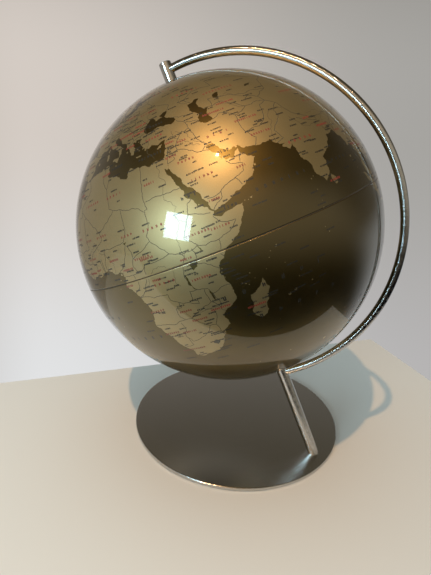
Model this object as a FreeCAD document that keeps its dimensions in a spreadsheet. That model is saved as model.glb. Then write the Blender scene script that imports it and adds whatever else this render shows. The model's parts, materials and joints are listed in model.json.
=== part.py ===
import FreeCAD, Part
import math
import os
import re
import Sketcher

# A desktop globe on a steel stand.
#
# The ball turns on two short pins about a tilted axis. The lower pin stands in a solid
# round post that runs on along that axis down to a flat round foot plate. The upper pin
# hangs in a short sleeve, which a bent tube (the meridian) holds up from the post.
#
# Frame: +Z up, origin at the middle of the foot pad's underside. The tilted axis lies in
# a plane parallel to XZ, with its north end towards -X, and the meridian on the +X side.
#
# The globe's own pieces are drawn with their origin at the ball's centre. A piece at a pole
# is drawn with local Z outwards along the axis, and is turned to the north or south pole.

SIZES = [
    ("ball_radius", 150.0, "outside of the printed map skin"),
    ("ball_height", 246.6, "ball's centre above the table"),
    ("axis_tilt", 25.4, "globe axis from the vertical, degrees"),
    ("skin_thick", 0.3, "printed map skin"),
    ("skin_edge_gap", 0.2, "each skin stops this far from the equator"),
    ("shell_thick", 1.8, "moulded hemisphere wall"),
    ("ring_width", 16.0, "joining ring across the equator"),
    ("ring_thick", 1.5, "joining ring wall"),
    ("plate_radius", 125.0, "foot plate"),
    ("plate_thick", 4.0, "foot plate"),
    ("plate_round", 1.0, "rounding of the plate's top edge"),
    ("plate_bevel", 0.5, "bevel of the plate's lower edge"),
    ("pad_thick", 0.8, "felt pad under the plate"),
    ("pad_inset", 3.0, "pad's edge inside the plate's edge"),
    ("foot_reach", 108.0, "plate's centre to the post's foot"),
    ("stand_turn", 19.0, "post's foot off the +X line, about the plate's centre, degrees"),
    ("post_radius", 6.0, "solid round post"),
    ("sleeve_radius", 6.0, "north sleeve outside"),
    ("sleeve_wall", 1.5, "north sleeve"),
    ("sleeve_rise", 7.2, "north sleeve above the tube's centre line"),
    ("edge_bevel", 0.4, "small bevel on turned ends"),
    ("tube_radius", 4.0, "meridian tube outside"),
    ("tube_wall", 1.0, "meridian tube"),
    ("finger_gap", 10.1, "between the ball and the meridian tube, at both poles"),
    ("arc_offset", 2.8, "arc's centre from the ball's centre, towards the meridian"),
    ("spigot_clear", 0.3, "spigot inside the tube's bore"),
    ("spigot_hold", 6.0, "length of each spigot inside the tube"),
    ("spigot_depth", 3.0, "south spigot inside the post"),
    ("pin_radius", 2.0, "both pivot pins"),
    ("pin_reach", 18.0, "pivot pin inside the ball's surface"),
    ("pin_seat", 16.0, "south pin inside the post"),
    ("pin_head_radius", 3.6, "north pin's head"),
    ("pin_head_thick", 2.0, "north pin's head"),
    ("pin_clear", 0.05, "running clearance of the pins in the bushes"),
    ("liner_length", 12.0, "liner inside the north sleeve"),
    ("liner_flange", 1.0, "liner's flange below the sleeve"),
    ("cap_thick", 1.6, "sleeve's end cap"),
    ("cap_recess", 0.4, "cap below the sleeve's rim"),
    ("bush_barrel_radius", 4.0, "pole bush through the shell"),
    ("bush_flange_radius", 5.5, "pole bush outside the ball"),
    ("bush_flange", 0.8, "pole bush's flange above the pole"),
    ("bush_length", 14.0, "pole bush inside the ball's surface"),
    ("clip_radius", 9.0, "clip that holds the bush from inside"),
    ("clip_thick", 1.6, "the same clip"),
    ("turn_gap", 0.3, "between a bush and its washer"),
    ("washer_radius", 5.0, "washers at both poles"),
    ("washer_thick", 1.0, "washers at both poles"),
    ("screw_radius", 3.0, "fixing screw's thread"),
    ("screw_grip", 12.0, "fixing screw inside the post"),
    ("screw_head_radius", 5.8, "fixing screw's countersunk head"),
    ("screw_socket_radius", 2.0, "hexagon socket, across its corners"),
    ("screw_socket_depth", 2.0, "hexagon socket"),
    ("screw_clear", 0.3, "around the screw in the plate"),
    ("pad_hole_clear", 1.2, "around the screw's head in the pad"),
]
ALIASES = [alias for alias, value, note in SIZES]

doc = FreeCAD.newDocument("desktop_globe")
sheet = doc.addObject("Spreadsheet::Sheet", "Sizes")
for row, (alias, value, note) in enumerate(SIZES, start=1):
    sheet.set(f"A{row}", alias)
    sheet.set(f"B{row}", str(value))
    sheet.setAlias(f"B{row}", alias)
    sheet.set(f"C{row}", note)
doc.recompute()

# Heights and distances that several pieces share, in terms of the sheet's sizes.
# A reach is a distance from the ball's centre along the axis, the same at both poles.
PLATE_TOP = "(pad_thick + plate_thick)"
FOOT_X = "(foot_reach * cos(stand_turn))"
FOOT_Y = "(-foot_reach * sin(stand_turn))"
BALL_X = f"({FOOT_X} - (ball_height - {PLATE_TOP}) * tan(axis_tilt))"
SCREW_X = f"({FOOT_X} - screw_grip / 2 * tan(axis_tilt))"
SCREW_HOLE = "(screw_radius + screw_clear)"
SCREW_LOW = "(pad_thick + screw_clear)"
SKIN_INSIDE = "(ball_radius - skin_thick)"
SHELL_INSIDE = "(ball_radius - skin_thick - shell_thick)"
BUSH_END = "(ball_radius + bush_flange)"
WASHER_END = f"({BUSH_END} + turn_gap + washer_thick)"
SLEEVE_END = f"({WASHER_END} + liner_flange)"
ARC_REACH = "(ball_radius + finger_gap + tube_radius)"
ARC_RADIUS = f"sqrt({ARC_REACH} ^ 2 + arc_offset ^ 2)"
SLEEVE_TOP = f"({ARC_REACH} + sleeve_rise)"
SLEEVE_BORE = "(sleeve_radius - sleeve_wall)"
LINER_TOP = f"({SLEEVE_END} + liner_length)"
POST_END = f"((ball_height - {PLATE_TOP}) / cos(axis_tilt) + post_radius * 2)"
TUBE_BORE = "(tube_radius - tube_wall)"
SPIGOT_RADIUS = f"({TUBE_BORE} - spigot_clear)"
PIN_TIP = "(ball_radius - pin_reach)"
BUSH_BORE = "(pin_radius + pin_clear)"

PLUS_Y = FreeCAD.Vector(0, 1, 0)
MINUS_Y = FreeCAD.Vector(0, -1, 0)


def bound(text):
    """An expression on the sheet: each size's name gets the sheet's name in front."""
    return re.sub(r"[a-z_]+", lambda word: "Sizes." + word[0] if word[0] in ALIASES else word[0], text)


def place(piece, x="0", y="0", z="0", turn=None, about=PLUS_Y):
    """Put a piece at (x, y, z), turned by an angle about one direction."""
    if turn is not None:
        piece.Placement = FreeCAD.Placement(FreeCAD.Vector(), FreeCAD.Rotation(about, 1))
        piece.setExpression("Placement.Rotation.Angle", bound(turn))
    for letter, text in zip("xyz", (x, y, z)):
        piece.setExpression("Placement.Base." + letter, bound(text))
    return piece


def at_north(piece):
    """Turn a piece whose local Z points outwards to the north pole. Local X is the meridian side."""
    return place(piece, BALL_X, FOOT_Y, "ball_height", "axis_tilt", MINUS_Y)


def at_south(piece):
    """Turn a piece whose local Z points outwards to the south pole."""
    return place(piece, BALL_X, FOOT_Y, "ball_height", "180 - axis_tilt", PLUS_Y)


def across_axis(piece, across, along):
    """Lay a piece's local Z across the globe's axis, towards the meridian, from one point."""
    x = f"{BALL_X} + ({across}) * cos(axis_tilt) - ({along}) * sin(axis_tilt)"
    z = f"ball_height + ({across}) * sin(axis_tilt) + ({along}) * cos(axis_tilt)"
    return place(piece, x, FOOT_Y, z, "90 - axis_tilt", PLUS_Y)


def primitive(kind, name, **sizes):
    piece = doc.addObject("Part::" + kind, name)
    for size, text in sizes.items():
        piece.setExpression(size, bound(text))
    return piece


def rod(name, radius, low, high, x="0", y="0"):
    """A cylinder along Z from low to high."""
    return place(primitive("Cylinder", name, Radius=radius, Height=f"{high} - {low}"), x, y, low)


def ball(name, radius):
    return primitive("Sphere", name, Radius=radius)


def cut(name, base, *tools):
    """The base with each tool taken out of it in turn."""
    for number, tool in enumerate(tools, start=1):
        last = number == len(tools)
        result = doc.addObject("Part::Cut", name if last else f"{name}_cut_{number}")
        result.Base = base
        result.Tool = tool
        base = result
    return base


def overlap(name, *pieces):
    result = doc.addObject("Part::MultiCommon", name)
    result.Shapes = list(pieces)
    return result


def new_sketch(body, name, role):
    plane = next(item for item in body.Origin.OriginFeatures if item.Role == role)
    sketch = body.newObject("Sketcher::SketchObject", name)
    sketch.AttachmentSupport = (plane, [""])
    sketch.MapMode = "FlatFace"
    return sketch


def fix(sketch, kind, text, *where):
    """A constraint whose value is bound to the sheet."""
    number = sketch.addConstraint(Sketcher.Constraint(kind, *where, 1.0))
    sketch.setExpression(f"Constraints[{number}]", bound(text))


def circle(sketch, radius, x="0", y="0"):
    start = Part.Circle(FreeCAD.Vector(1, 1, 0), FreeCAD.Vector(0, 0, 1), 1)
    edge = sketch.addGeometry(start, False)
    fix(sketch, "DistanceX", x, -1, 1, edge, 3)
    fix(sketch, "DistanceY", y, -1, 1, edge, 3)
    fix(sketch, "Radius", radius, edge)


def outline(sketch, corners):
    """A closed outline of straight lines, with both coordinates of each corner bound."""
    count = len(corners)
    around = [2 * math.pi * number / count for number in range(count)]
    points = [FreeCAD.Vector(9 + math.cos(angle), math.sin(angle), 0) for angle in around]
    for number in range(count):
        sketch.addGeometry(Part.LineSegment(points[number], points[(number + 1) % count]), False)
    for number, (across, up) in enumerate(corners):
        sketch.addConstraint(Sketcher.Constraint("Coincident", number, 2, (number + 1) % count, 1))
        fix(sketch, "DistanceX", across, -1, 1, number, 1)
        fix(sketch, "DistanceY", up, -1, 1, number, 1)


def turned(name, corners):
    """A piece turned about its local Z: the corners are (radius, height) round its section."""
    body = doc.addObject("PartDesign::Body", name)
    sketch = new_sketch(body, name + "_section", "XZ_Plane")
    outline(sketch, corners)
    spin = body.newObject("PartDesign::Revolution", name + "_turned")
    spin.Profile = sketch
    spin.ReferenceAxis = (sketch, ["V_Axis"])
    spin.Angle = 360
    body.Tip = spin
    return body


def ring(name, bore, radius, low, high):
    return turned(name, [(bore, low), (radius, low), (radius, high), (bore, high)])


def flat_circle(shape, height, radius):
    """The names of the full circles of one radius that lie flat at one height."""
    names = []
    for number, edge in enumerate(shape.Edges, start=1):
        box = edge.BoundBox
        level = abs(box.ZMin - height) < 1e-6 and box.ZLength < 1e-6
        if level and abs(box.XLength / 2 - radius) < 1e-6:
            names.append(f"Edge{number}")
    return names


def foot_plate():
    """A round plate, rounded above and bevelled below, with a countersunk hole from below."""
    body = doc.addObject("PartDesign::Body", "foot_plate")
    sketch = new_sketch(body, "plate_outline", "XY_Plane")
    circle(sketch, "plate_radius")
    disc = body.newObject("PartDesign::Pad", "plate_disc")
    disc.Profile = sketch
    disc.setExpression("Length", bound("plate_thick"))
    doc.recompute()
    rim = sheet.plate_radius
    rounded = body.newObject("PartDesign::Fillet", "plate_top_round")
    rounded.Base = (disc, flat_circle(disc.Shape, sheet.plate_thick, rim))
    rounded.setExpression("Radius", bound("plate_round"))
    doc.recompute()
    bevel = body.newObject("PartDesign::Chamfer", "plate_lower_bevel")
    bevel.Base = (rounded, flat_circle(rounded.Shape, 0, rim))
    bevel.setExpression("Size", bound("plate_bevel"))
    hole_sketch = new_sketch(body, "screw_hole_outline", "XY_Plane")
    circle(hole_sketch, SCREW_HOLE, SCREW_X, FOOT_Y)
    hole = body.newObject("PartDesign::Pocket", "screw_hole")
    hole.Profile = hole_sketch
    hole.Type = "ThroughAll"
    hole.Reversed = True
    doc.recompute()
    sink = body.newObject("PartDesign::Chamfer", "screw_countersink")
    sink.Base = (hole, flat_circle(hole.Shape, 0, sheet.screw_radius + sheet.screw_clear))
    sink.setExpression("Size", bound("screw_head_radius - screw_radius"))
    body.Tip = sink
    doc.recompute()
    if not sink.Shape.Volume < hole.Shape.Volume < bevel.Shape.Volume:
        raise RuntimeError("the foot plate's screw hole cuts nothing")
    return place(body, z="pad_thick")


def foot_pad():
    """A felt disc glued under the plate, cut away around the screw's head."""
    disc = rod("pad_disc", "plate_radius - pad_inset", "0", "pad_thick")
    around_head = "screw_head_radius + pad_hole_clear"
    hole = rod("pad_hole", around_head, "-pad_thick", "pad_thick * 2", SCREW_X, FOOT_Y)
    return cut("foot_pad", disc, hole)


def post():
    """A solid rod on the globe's axis, cut flush to the plate, and drilled for pin, spigot and screw."""
    blank = turned("post_blank", [
        ("0", f"{WASHER_END} + pin_seat"),
        ("pin_radius", f"{WASHER_END} + pin_seat"),
        ("pin_radius", WASHER_END),
        ("post_radius - edge_bevel", WASHER_END),
        ("post_radius", f"{WASHER_END} + edge_bevel"),
        ("post_radius", POST_END),
        ("0", POST_END),
    ])
    below_plate = rod("post_trim", "post_radius * 6", "-post_radius * 6", PLATE_TOP, FOOT_X, FOOT_Y)
    screw_hole = rod("post_screw_hole", "screw_radius", "0", f"{PLATE_TOP} + screw_grip", SCREW_X, FOOT_Y)
    spigot_hole = primitive("Cylinder", "post_spigot_hole", Radius=SPIGOT_RADIUS, Height="post_radius")
    across_axis(spigot_hole, "post_radius - spigot_depth", f"-{ARC_REACH}")
    return cut("post", at_south(blank), below_plate, screw_hole, spigot_hole)


def post_fixing_screw():
    """A countersunk screw from under the plate into the post, with a hexagon socket."""
    top = "plate_thick - screw_clear + screw_grip"
    blank = turned("screw_blank", [
        ("0", "0"),
        ("screw_head_radius", "0"),
        ("screw_radius", "screw_head_radius - screw_radius"),
        ("screw_radius", f"{top} - edge_bevel"),
        ("screw_radius - edge_bevel", top),
        ("0", top),
    ])
    socket = primitive("Prism", "screw_socket", Circumradius="screw_socket_radius")
    socket.setExpression("Height", bound("screw_socket_depth"))
    return place(cut("post_fixing_screw", blank, socket), SCREW_X, FOOT_Y, SCREW_LOW)


def south_pivot_pin():
    """The pin that carries the ball: pressed into the post, its tip inside the lower bush."""
    return at_south(turned("south_pivot_pin", [
        ("0", PIN_TIP),
        ("pin_radius - edge_bevel", PIN_TIP),
        ("pin_radius", f"{PIN_TIP} + edge_bevel"),
        ("pin_radius", f"{WASHER_END} + pin_seat"),
        ("0", f"{WASHER_END} + pin_seat"),
    ]))


def north_pivot_pin():
    """The upper pin, dropped through the sleeve's liner and held by its head."""
    return at_north(turned("north_pivot_pin", [
        ("0", PIN_TIP),
        ("pin_radius - edge_bevel", PIN_TIP),
        ("pin_radius", f"{PIN_TIP} + edge_bevel"),
        ("pin_radius", LINER_TOP),
        ("pin_head_radius", LINER_TOP),
        ("pin_head_radius", f"{LINER_TOP} + pin_head_thick - edge_bevel"),
        ("pin_head_radius - edge_bevel", f"{LINER_TOP} + pin_head_thick"),
        ("0", f"{LINER_TOP} + pin_head_thick"),
    ]))


def meridian_tube():
    """A half ring of tube from the post to the sleeve, its ends shaped to fit both."""
    outside = primitive("Torus", "tube_outside", Radius1=ARC_RADIUS, Radius2="tube_radius")
    inside = primitive("Torus", "tube_inside", Radius1=ARC_RADIUS, Radius2=TUBE_BORE)
    for side in (outside, inside):
        place(side, x="arc_offset", turn="90", about=FreeCAD.Vector(1, 0, 0))
    room = f"({ARC_REACH} * 2)"
    far_half = primitive("Box", "tube_far_half", Length=room, Width=room, Height=f"{room} * 2")
    place(far_half, f"-{room}", f"-{room} / 2", f"-{room}")
    post_side = rod("tube_post_end", "post_radius", f"-{room}", "0")
    sleeve_side = rod("tube_sleeve_end", "sleeve_radius", "0", room)
    return at_north(cut("meridian_tube", outside, inside, far_half, post_side, sleeve_side))


def north_sleeve():
    """A short tube at the north end of the axis, with a hole in its wall for the spigot."""
    blank = turned("sleeve_blank", [
        (SLEEVE_BORE, SLEEVE_END),
        ("sleeve_radius - edge_bevel", SLEEVE_END),
        ("sleeve_radius", f"{SLEEVE_END} + edge_bevel"),
        ("sleeve_radius", f"{SLEEVE_TOP} - edge_bevel"),
        ("sleeve_radius - edge_bevel", SLEEVE_TOP),
        (SLEEVE_BORE, SLEEVE_TOP),
    ])
    hole = primitive("Cylinder", "sleeve_spigot_hole", Radius=SPIGOT_RADIUS, Height="sleeve_radius * 2")
    place(hole, z=ARC_REACH, turn="90")
    return at_north(cut("north_sleeve", blank, hole))


def north_sleeve_liner():
    """A flanged liner pressed up into the sleeve, which guides the upper pin."""
    return at_north(turned("north_sleeve_liner", [
        ("pin_radius", WASHER_END),
        ("sleeve_radius - edge_bevel", WASHER_END),
        ("sleeve_radius", f"{WASHER_END} + edge_bevel"),
        ("sleeve_radius", SLEEVE_END),
        (SLEEVE_BORE, SLEEVE_END),
        (SLEEVE_BORE, LINER_TOP),
        ("pin_radius", LINER_TOP),
    ]))


def north_sleeve_cap():
    """A disc that closes the sleeve just below its rim."""
    top = f"{SLEEVE_TOP} - cap_recess"
    return at_north(turned("north_sleeve_cap", [
        ("0", f"{top} - cap_thick"),
        (SLEEVE_BORE, f"{top} - cap_thick"),
        (SLEEVE_BORE, top),
        ("0", top),
    ]))


def tube_spigots():
    """Short dowels inside the tube's ends, which place it on the post and the sleeve for brazing."""
    length = "spigot_depth + spigot_hold"
    south = primitive("Cylinder", "south_tube_spigot", Radius=SPIGOT_RADIUS, Height=length)
    across_axis(south, "post_radius - spigot_depth", f"-{ARC_REACH}")
    start = f"({SLEEVE_BORE} + spigot_clear)"
    length = f"sleeve_radius - {start} + spigot_hold"
    north = primitive("Cylinder", "north_tube_spigot", Radius=SPIGOT_RADIUS, Height=length)
    across_axis(north, start, ARC_REACH)
    return [south, north]


def washer(pole, to_pole):
    name = pole + "_washer"
    return to_pole(ring(name, BUSH_BORE, "washer_radius", f"{BUSH_END} + turn_gap", WASHER_END))


def hemisphere(pole, to_pole):
    """Half of the moulded ball, open at the equator, with a hole at its pole for the bush."""
    outside = ball(pole + "_shell_outside", SKIN_INSIDE)
    inside = ball(pole + "_shell_inside", SHELL_INSIDE)
    other_half = rod(pole + "_shell_other_half", "ball_radius * 2", "-ball_radius * 2", "0")
    hole = rod(pole + "_shell_hole", "bush_barrel_radius", "0", "ball_radius * 2")
    return to_pole(cut(pole + "_hemisphere", outside, inside, other_half, hole))


def map_skin(pole, to_pole):
    """The printed film on one half of the ball, stopped just short of the equator."""
    outside = ball(pole + "_skin_outside", "ball_radius")
    inside = ball(pole + "_skin_inside", SKIN_INSIDE)
    other_half = rod(pole + "_skin_other_half", "ball_radius * 2", "-ball_radius * 2", "skin_edge_gap")
    hole = rod(pole + "_skin_hole", "bush_barrel_radius", "0", "ball_radius * 2")
    return to_pole(cut(pole + "_map_skin", outside, inside, other_half, hole))


def pole_bush(pole, to_pole):
    """A bush through the pole: its flange lies on the skin, its barrel runs on inside."""
    blank = turned(pole + "_bush_blank", [
        (BUSH_BORE, "ball_radius - bush_length"),
        ("bush_barrel_radius", "ball_radius - bush_length"),
        ("bush_barrel_radius", f"{BUSH_END} - bush_flange * 2"),
        ("bush_flange_radius", f"{BUSH_END} - bush_flange * 2"),
        ("bush_flange_radius", f"{BUSH_END} - edge_bevel"),
        ("bush_flange_radius - edge_bevel", BUSH_END),
        (BUSH_BORE, BUSH_END),
    ])
    under_flange = ball(pole + "_bush_ball", "ball_radius")
    barrel = rod(pole + "_bush_barrel", "bush_barrel_radius", "0", "ball_radius * 2")
    return to_pole(cut(pole + "_pole_bush", blank, cut(pole + "_bush_seat", under_flange, barrel)))


def bush_clip(pole, to_pole):
    """A push-on clip that pulls the bush's flange down from inside the shell."""
    low = f"(sqrt({SHELL_INSIDE} ^ 2 - clip_radius ^ 2) - clip_thick)"
    blank = ring(pole + "_clip_blank", "bush_barrel_radius", "clip_radius", low, "ball_radius")
    return to_pole(overlap(pole + "_bush_clip", blank, ball(pole + "_clip_ball", SHELL_INSIDE)))


def joining_ring():
    """A band glued inside both hemispheres across the equator."""
    slice_across = rod("ring_slice", "ball_radius", "-ring_width / 2", "ring_width / 2")
    band = overlap("ring_band", ball("ring_ball", SHELL_INSIDE), slice_across)
    bore = rod("ring_bore", f"{SHELL_INSIDE} - ring_thick", "-ring_width", "ring_width")
    return at_north(cut("joining_ring", band, bore))


def build():
    nodes = [foot_plate(), foot_pad(), post(), post_fixing_screw(), south_pivot_pin()]
    nodes += [meridian_tube(), *tube_spigots()]
    nodes += [north_sleeve(), north_sleeve_liner(), north_sleeve_cap(), north_pivot_pin(), joining_ring()]
    for pole, to_pole in (("north", at_north), ("south", at_south)):
        for piece in (washer, hemisphere, map_skin, pole_bush, bush_clip):
            nodes.append(piece(pole, to_pole))
    doc.recompute()
    return nodes


def check(nodes):
    for item in doc.Objects:
        if "Invalid" in item.State or "Error" in item.State:
            raise RuntimeError(f"{item.Label} did not recompute: {item.State}")
    for node in nodes:
        if node.Shape.isNull() or not node.Shape.isValid():
            raise RuntimeError(f"{node.Label} has no valid shape")


def write(nodes):
    os.makedirs("parts", exist_ok=True)
    for node in nodes:
        node.Shape.exportStep(f"parts/{node.Label}.step")
        print(f"{node.Label}: {len(node.Shape.Solids)} solid, {node.Shape.Volume:.1f} mm3")


pieces = build()
check(pieces)
write(pieces)
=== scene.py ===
# %% [markdown]
# # A desktop globe with a metallic map
#
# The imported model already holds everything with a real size: the foot plate, the leaning
# post, the bent meridian tube, the sleeve and the two halves of the ball. This lesson gives
# those pieces their steel, felt and plastic. It then lays the printed map round the ball as
# two thin sheets with ink on them, because the map is what makes the globe a globe.

# %% Load the frame
import json
import math
import random

import bmesh
import bpy
import numpy as np
from mathutils import Matrix, Vector, geometry


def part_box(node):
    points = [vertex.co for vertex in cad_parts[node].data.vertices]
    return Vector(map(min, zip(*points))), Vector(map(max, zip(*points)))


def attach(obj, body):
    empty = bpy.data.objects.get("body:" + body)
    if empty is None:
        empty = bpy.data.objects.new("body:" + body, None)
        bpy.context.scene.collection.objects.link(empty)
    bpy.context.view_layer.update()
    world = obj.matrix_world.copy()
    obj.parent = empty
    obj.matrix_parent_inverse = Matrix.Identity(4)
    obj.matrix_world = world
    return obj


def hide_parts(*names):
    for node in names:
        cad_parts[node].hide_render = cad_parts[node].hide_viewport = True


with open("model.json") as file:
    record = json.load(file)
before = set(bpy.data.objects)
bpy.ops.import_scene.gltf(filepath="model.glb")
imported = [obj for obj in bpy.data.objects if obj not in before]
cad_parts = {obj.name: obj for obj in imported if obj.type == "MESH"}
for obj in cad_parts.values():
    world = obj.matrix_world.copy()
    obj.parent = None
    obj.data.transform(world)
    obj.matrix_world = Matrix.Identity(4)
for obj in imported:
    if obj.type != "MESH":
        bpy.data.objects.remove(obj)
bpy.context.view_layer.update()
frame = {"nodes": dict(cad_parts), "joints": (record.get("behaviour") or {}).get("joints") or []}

# %% [markdown]
# The ball turns about one joint, so that joint's point and direction give the ball's centre
# and its leaning axis. Its radius is half of what a map skin measures from side to side.
# The third direction is the side that the meridian tube stands on, square to the axis.

# %% The ball's centre, radius and axes
MM = 0.001
spin = frame["joints"][0]
CENTRE = Vector(spin["pos_m"])
NORTH = Vector(spin["axis"]).normalized()
skin_low, skin_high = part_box("south_map_skin")
RADIUS = (skin_high - skin_low).y / 2
AWAY = Vector((0, 1, 0))
TUBE_SIDE = AWAY.cross(NORTH).normalized()
GLOBE = Matrix((TUBE_SIDE, AWAY, NORTH)).transposed().to_4x4()
GLOBE.translation = CENTRE
print("ball radius", round(RADIUS / MM, 2), "mm, centre", [round(c / MM, 1) for c in CENTRE])

# %% [markdown]
# The camera stands less than half a metre from the ball, a little to the right and a little
# above it, as a person at the desk does. It is so close that the ball swells towards it, so
# the lens is short. It is placed by two angles and a distance from the ball's centre. The
# plain view transform keeps the darks deep and the metal's colours full.

# %% Camera
SENSOR_HEIGHT = 36.0
NEAREST_SEEN = 0.01


def direction(turn, rise):
    """A unit vector. turn runs from -Y towards +X, and rise is above the horizon."""
    turn, rise = math.radians(turn), math.radians(rise)
    level = math.cos(rise)
    return Vector((math.sin(turn) * level, -math.cos(turn) * level, math.sin(rise)))


def add_camera(turn, rise, distance, look_turn, look_rise, roll, lens):
    """Stands the camera at one pair of angles and points it along another."""
    data = bpy.data.cameras.new("camera")
    data.sensor_fit = "VERTICAL"
    data.sensor_height = SENSOR_HEIGHT
    data.lens = lens
    data.clip_start = NEAREST_SEEN
    holder = bpy.data.objects.new("camera", data)
    bpy.context.scene.collection.objects.link(holder)
    place = Matrix.Translation(CENTRE + distance * direction(turn, rise))
    sideways = Matrix.Rotation(math.radians(look_turn), 4, "Z")
    upwards = Matrix.Rotation(math.radians(90 - look_rise), 4, "X")
    rolled = Matrix.Rotation(math.radians(roll), 4, "Z")
    holder.matrix_world = place @ (sideways @ upwards) @ rolled
    bpy.context.scene.camera = holder
    return holder


bpy.context.scene.view_settings.view_transform = "Standard"
camera = add_camera(
    turn=16.36, rise=12.30, distance=0.4581, look_turn=17.72, look_rise=19.69, roll=2.85, lens=27.67
)
print("camera at", [round(c, 3) for c in camera.matrix_world.translation])

# %% [markdown]
# Shader maths reads best as arithmetic. A Flow holds one output of a node, and each operator
# on it adds a Math node, so 1 - grain or 0.2 + 0.1 * grain can be written as it stands. A
# Sheet is one node tree, and its node method adds any other kind of node: the settings go in
# first, because some nodes change their sockets when a setting changes.

# %% Shader helper


class Flow:
    """One output socket that plain arithmetic can use."""

    def __init__(self, sheet, socket):
        self.sheet, self.socket = sheet, socket

    def math(self, operation, first, second=0.0):
        return self.sheet.node("Math", {"operation": operation}, {0: first, 1: second})

    def __add__(self, other):
        return self.math("ADD", self, other)

    def __sub__(self, other):
        return self.math("SUBTRACT", self, other)

    def __rsub__(self, other):
        return self.math("SUBTRACT", other, self)

    def __mul__(self, other):
        return self.math("MULTIPLY", self, other)

    def __pow__(self, other):
        return self.math("POWER", self, other)

    __radd__ = __add__
    __rmul__ = __mul__

    def between(self, low, high):
        """0 below low, 1 above high, and a smooth step from one to the other."""
        settings = {"interpolation_type": "SMOOTHSTEP"}
        sockets = {"Value": self, "From Min": low, "From Max": high}
        return self.sheet.node("MapRange", settings, sockets)


class Sheet:
    """A node tree, with one method for adding a node to it."""

    def __init__(self, tree):
        self.tree = tree

    def node(self, kind, settings=None, inputs=None, output=0):
        made = self.tree.nodes.new("ShaderNode" + kind)
        for name, value in (settings or {}).items():
            setattr(made, name, value)
        for name, value in (inputs or {}).items():
            if isinstance(value, Flow):
                self.tree.links.new(value.socket, made.inputs[name])
            else:
                made.inputs[name].default_value = value
        return Flow(self, made.outputs[output])

    def mix(self, share, first, second):
        """A blend of two colours: the first where share is 0, the second where it is 1."""
        settings = {"data_type": "RGBA"}
        sockets = {0: share, 6: first, 7: second}
        return self.node("Mix", settings, sockets, output=2)

    def along(self, axis, centre=(0, 0, 0)):
        """How far a place on the piece lies along an axis, measured from a centre."""
        place = self.node("TexCoord", output=3)
        offset = self.node("VectorMath", {"operation": "SUBTRACT"}, {0: place, 1: tuple(centre)})
        return self.node("VectorMath", {"operation": "DOT_PRODUCT"}, {0: offset, 1: tuple(axis)}, output=1)

    def place(self, x, y, z=0.0):
        """A position for a texture, made from three numbers."""
        return self.node("CombineXYZ", None, {0: x, 1: y, 2: z})

    def noise(self, scale, detail=2.0, where=None):
        """A soft random value from 0 to 1 on the piece's own coordinates."""
        where = where or self.node("TexCoord", output=3)
        return self.node("TexNoise", None, {"Vector": where, "Scale": scale, "Detail": detail})


class Finish(Sheet):
    """A material: constants sit on its shader, and feed() links what varies."""

    def __init__(self, name, colour, **constants):
        self.material = bpy.data.materials.new(name)
        self.material.use_nodes = True
        super().__init__(self.material.node_tree)
        self.shader = self.tree.nodes["Principled BSDF"]
        self.shader.inputs["Base Color"].default_value = (*colour, 1)
        for name, value in constants.items():
            self.shader.inputs[name.replace("_", " ")].default_value = value

    def feed(self, socket, flow):
        self.tree.links.new(flow.socket, self.shader.inputs[socket])

    def tint(self, first, second, share):
        """A base colour that drifts between two tones."""
        self.feed("Base Color", self.mix(share, (*first, 1), (*second, 1)))

    def relief(self, height, depth, strength=1.0):
        """Bump from a height of 0 to 1 that stands for depth in metres."""
        sockets = {"Height": height, "Distance": depth, "Strength": strength}
        self.feed("Normal", self.node("Bump", None, sockets))


print("helpers ready")

# %% [markdown]
# A shiny ball shows the whole room, so the room is part of the finish. The desk top is pale
# and no deeper than a shelf. Past its front edge there is only the dim room, which is what
# keeps the ball's lower right side nearly black. Past its back edge stands a pale wall.

# %% Desk top
DESK_TURN = math.radians(36.9)
DESK_CORNER = Vector((0.164, 0.314, 0))
DESK_LENGTH, DESK_DEPTH = 1.6, 0.402
DESK_TONE, DESK_SECOND = (0.76, 0.73, 0.685), (0.72, 0.69, 0.645)


def paint(name, colour, second, roughness):
    """Plain paint with a faint broad mottle, for the desk top."""
    finish = Finish(name, colour, Roughness=roughness)
    finish.tint(colour, second, finish.noise(1.4, 3.0))
    finish.relief(finish.noise(900.0), 0.00003, 0.25)
    return finish.material


def add_desk():
    """One flat rectangle whose back right corner sits at DESK_CORNER."""
    shape = bmesh.new()
    bmesh.ops.create_grid(shape, x_segments=1, y_segments=1, size=0.5)
    bmesh.ops.translate(shape, verts=shape.verts, vec=(-0.5, -0.5, 0))
    bmesh.ops.scale(shape, verts=shape.verts, vec=(DESK_LENGTH, DESK_DEPTH, 1))
    bmesh.ops.rotate(shape, verts=shape.verts, matrix=Matrix.Rotation(DESK_TURN, 3, "Z"))
    bmesh.ops.translate(shape, verts=shape.verts, vec=DESK_CORNER)
    mesh = bpy.data.meshes.new("desk_top")
    shape.to_mesh(mesh)
    shape.free()
    mesh.materials.append(paint("desk_paint", DESK_TONE, DESK_SECOND, 0.45))
    desk = bpy.data.objects.new("desk_top", mesh)
    bpy.context.scene.collection.objects.link(desk)
    return desk


desk = add_desk()
print(desk.name, DESK_LENGTH, "by", DESK_DEPTH, "m")

# %% [markdown]
# The room is a soft blend of a few tones by direction, with no picture behind it. The wall is
# lightest on the left, cooler low down where daylight reaches it, duller to the right, and
# dim and warm higher up. The side of the room behind the camera is dim, and black below.
# That dim side is only for reflections: seen directly, it is as pale as the wall.

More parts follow.
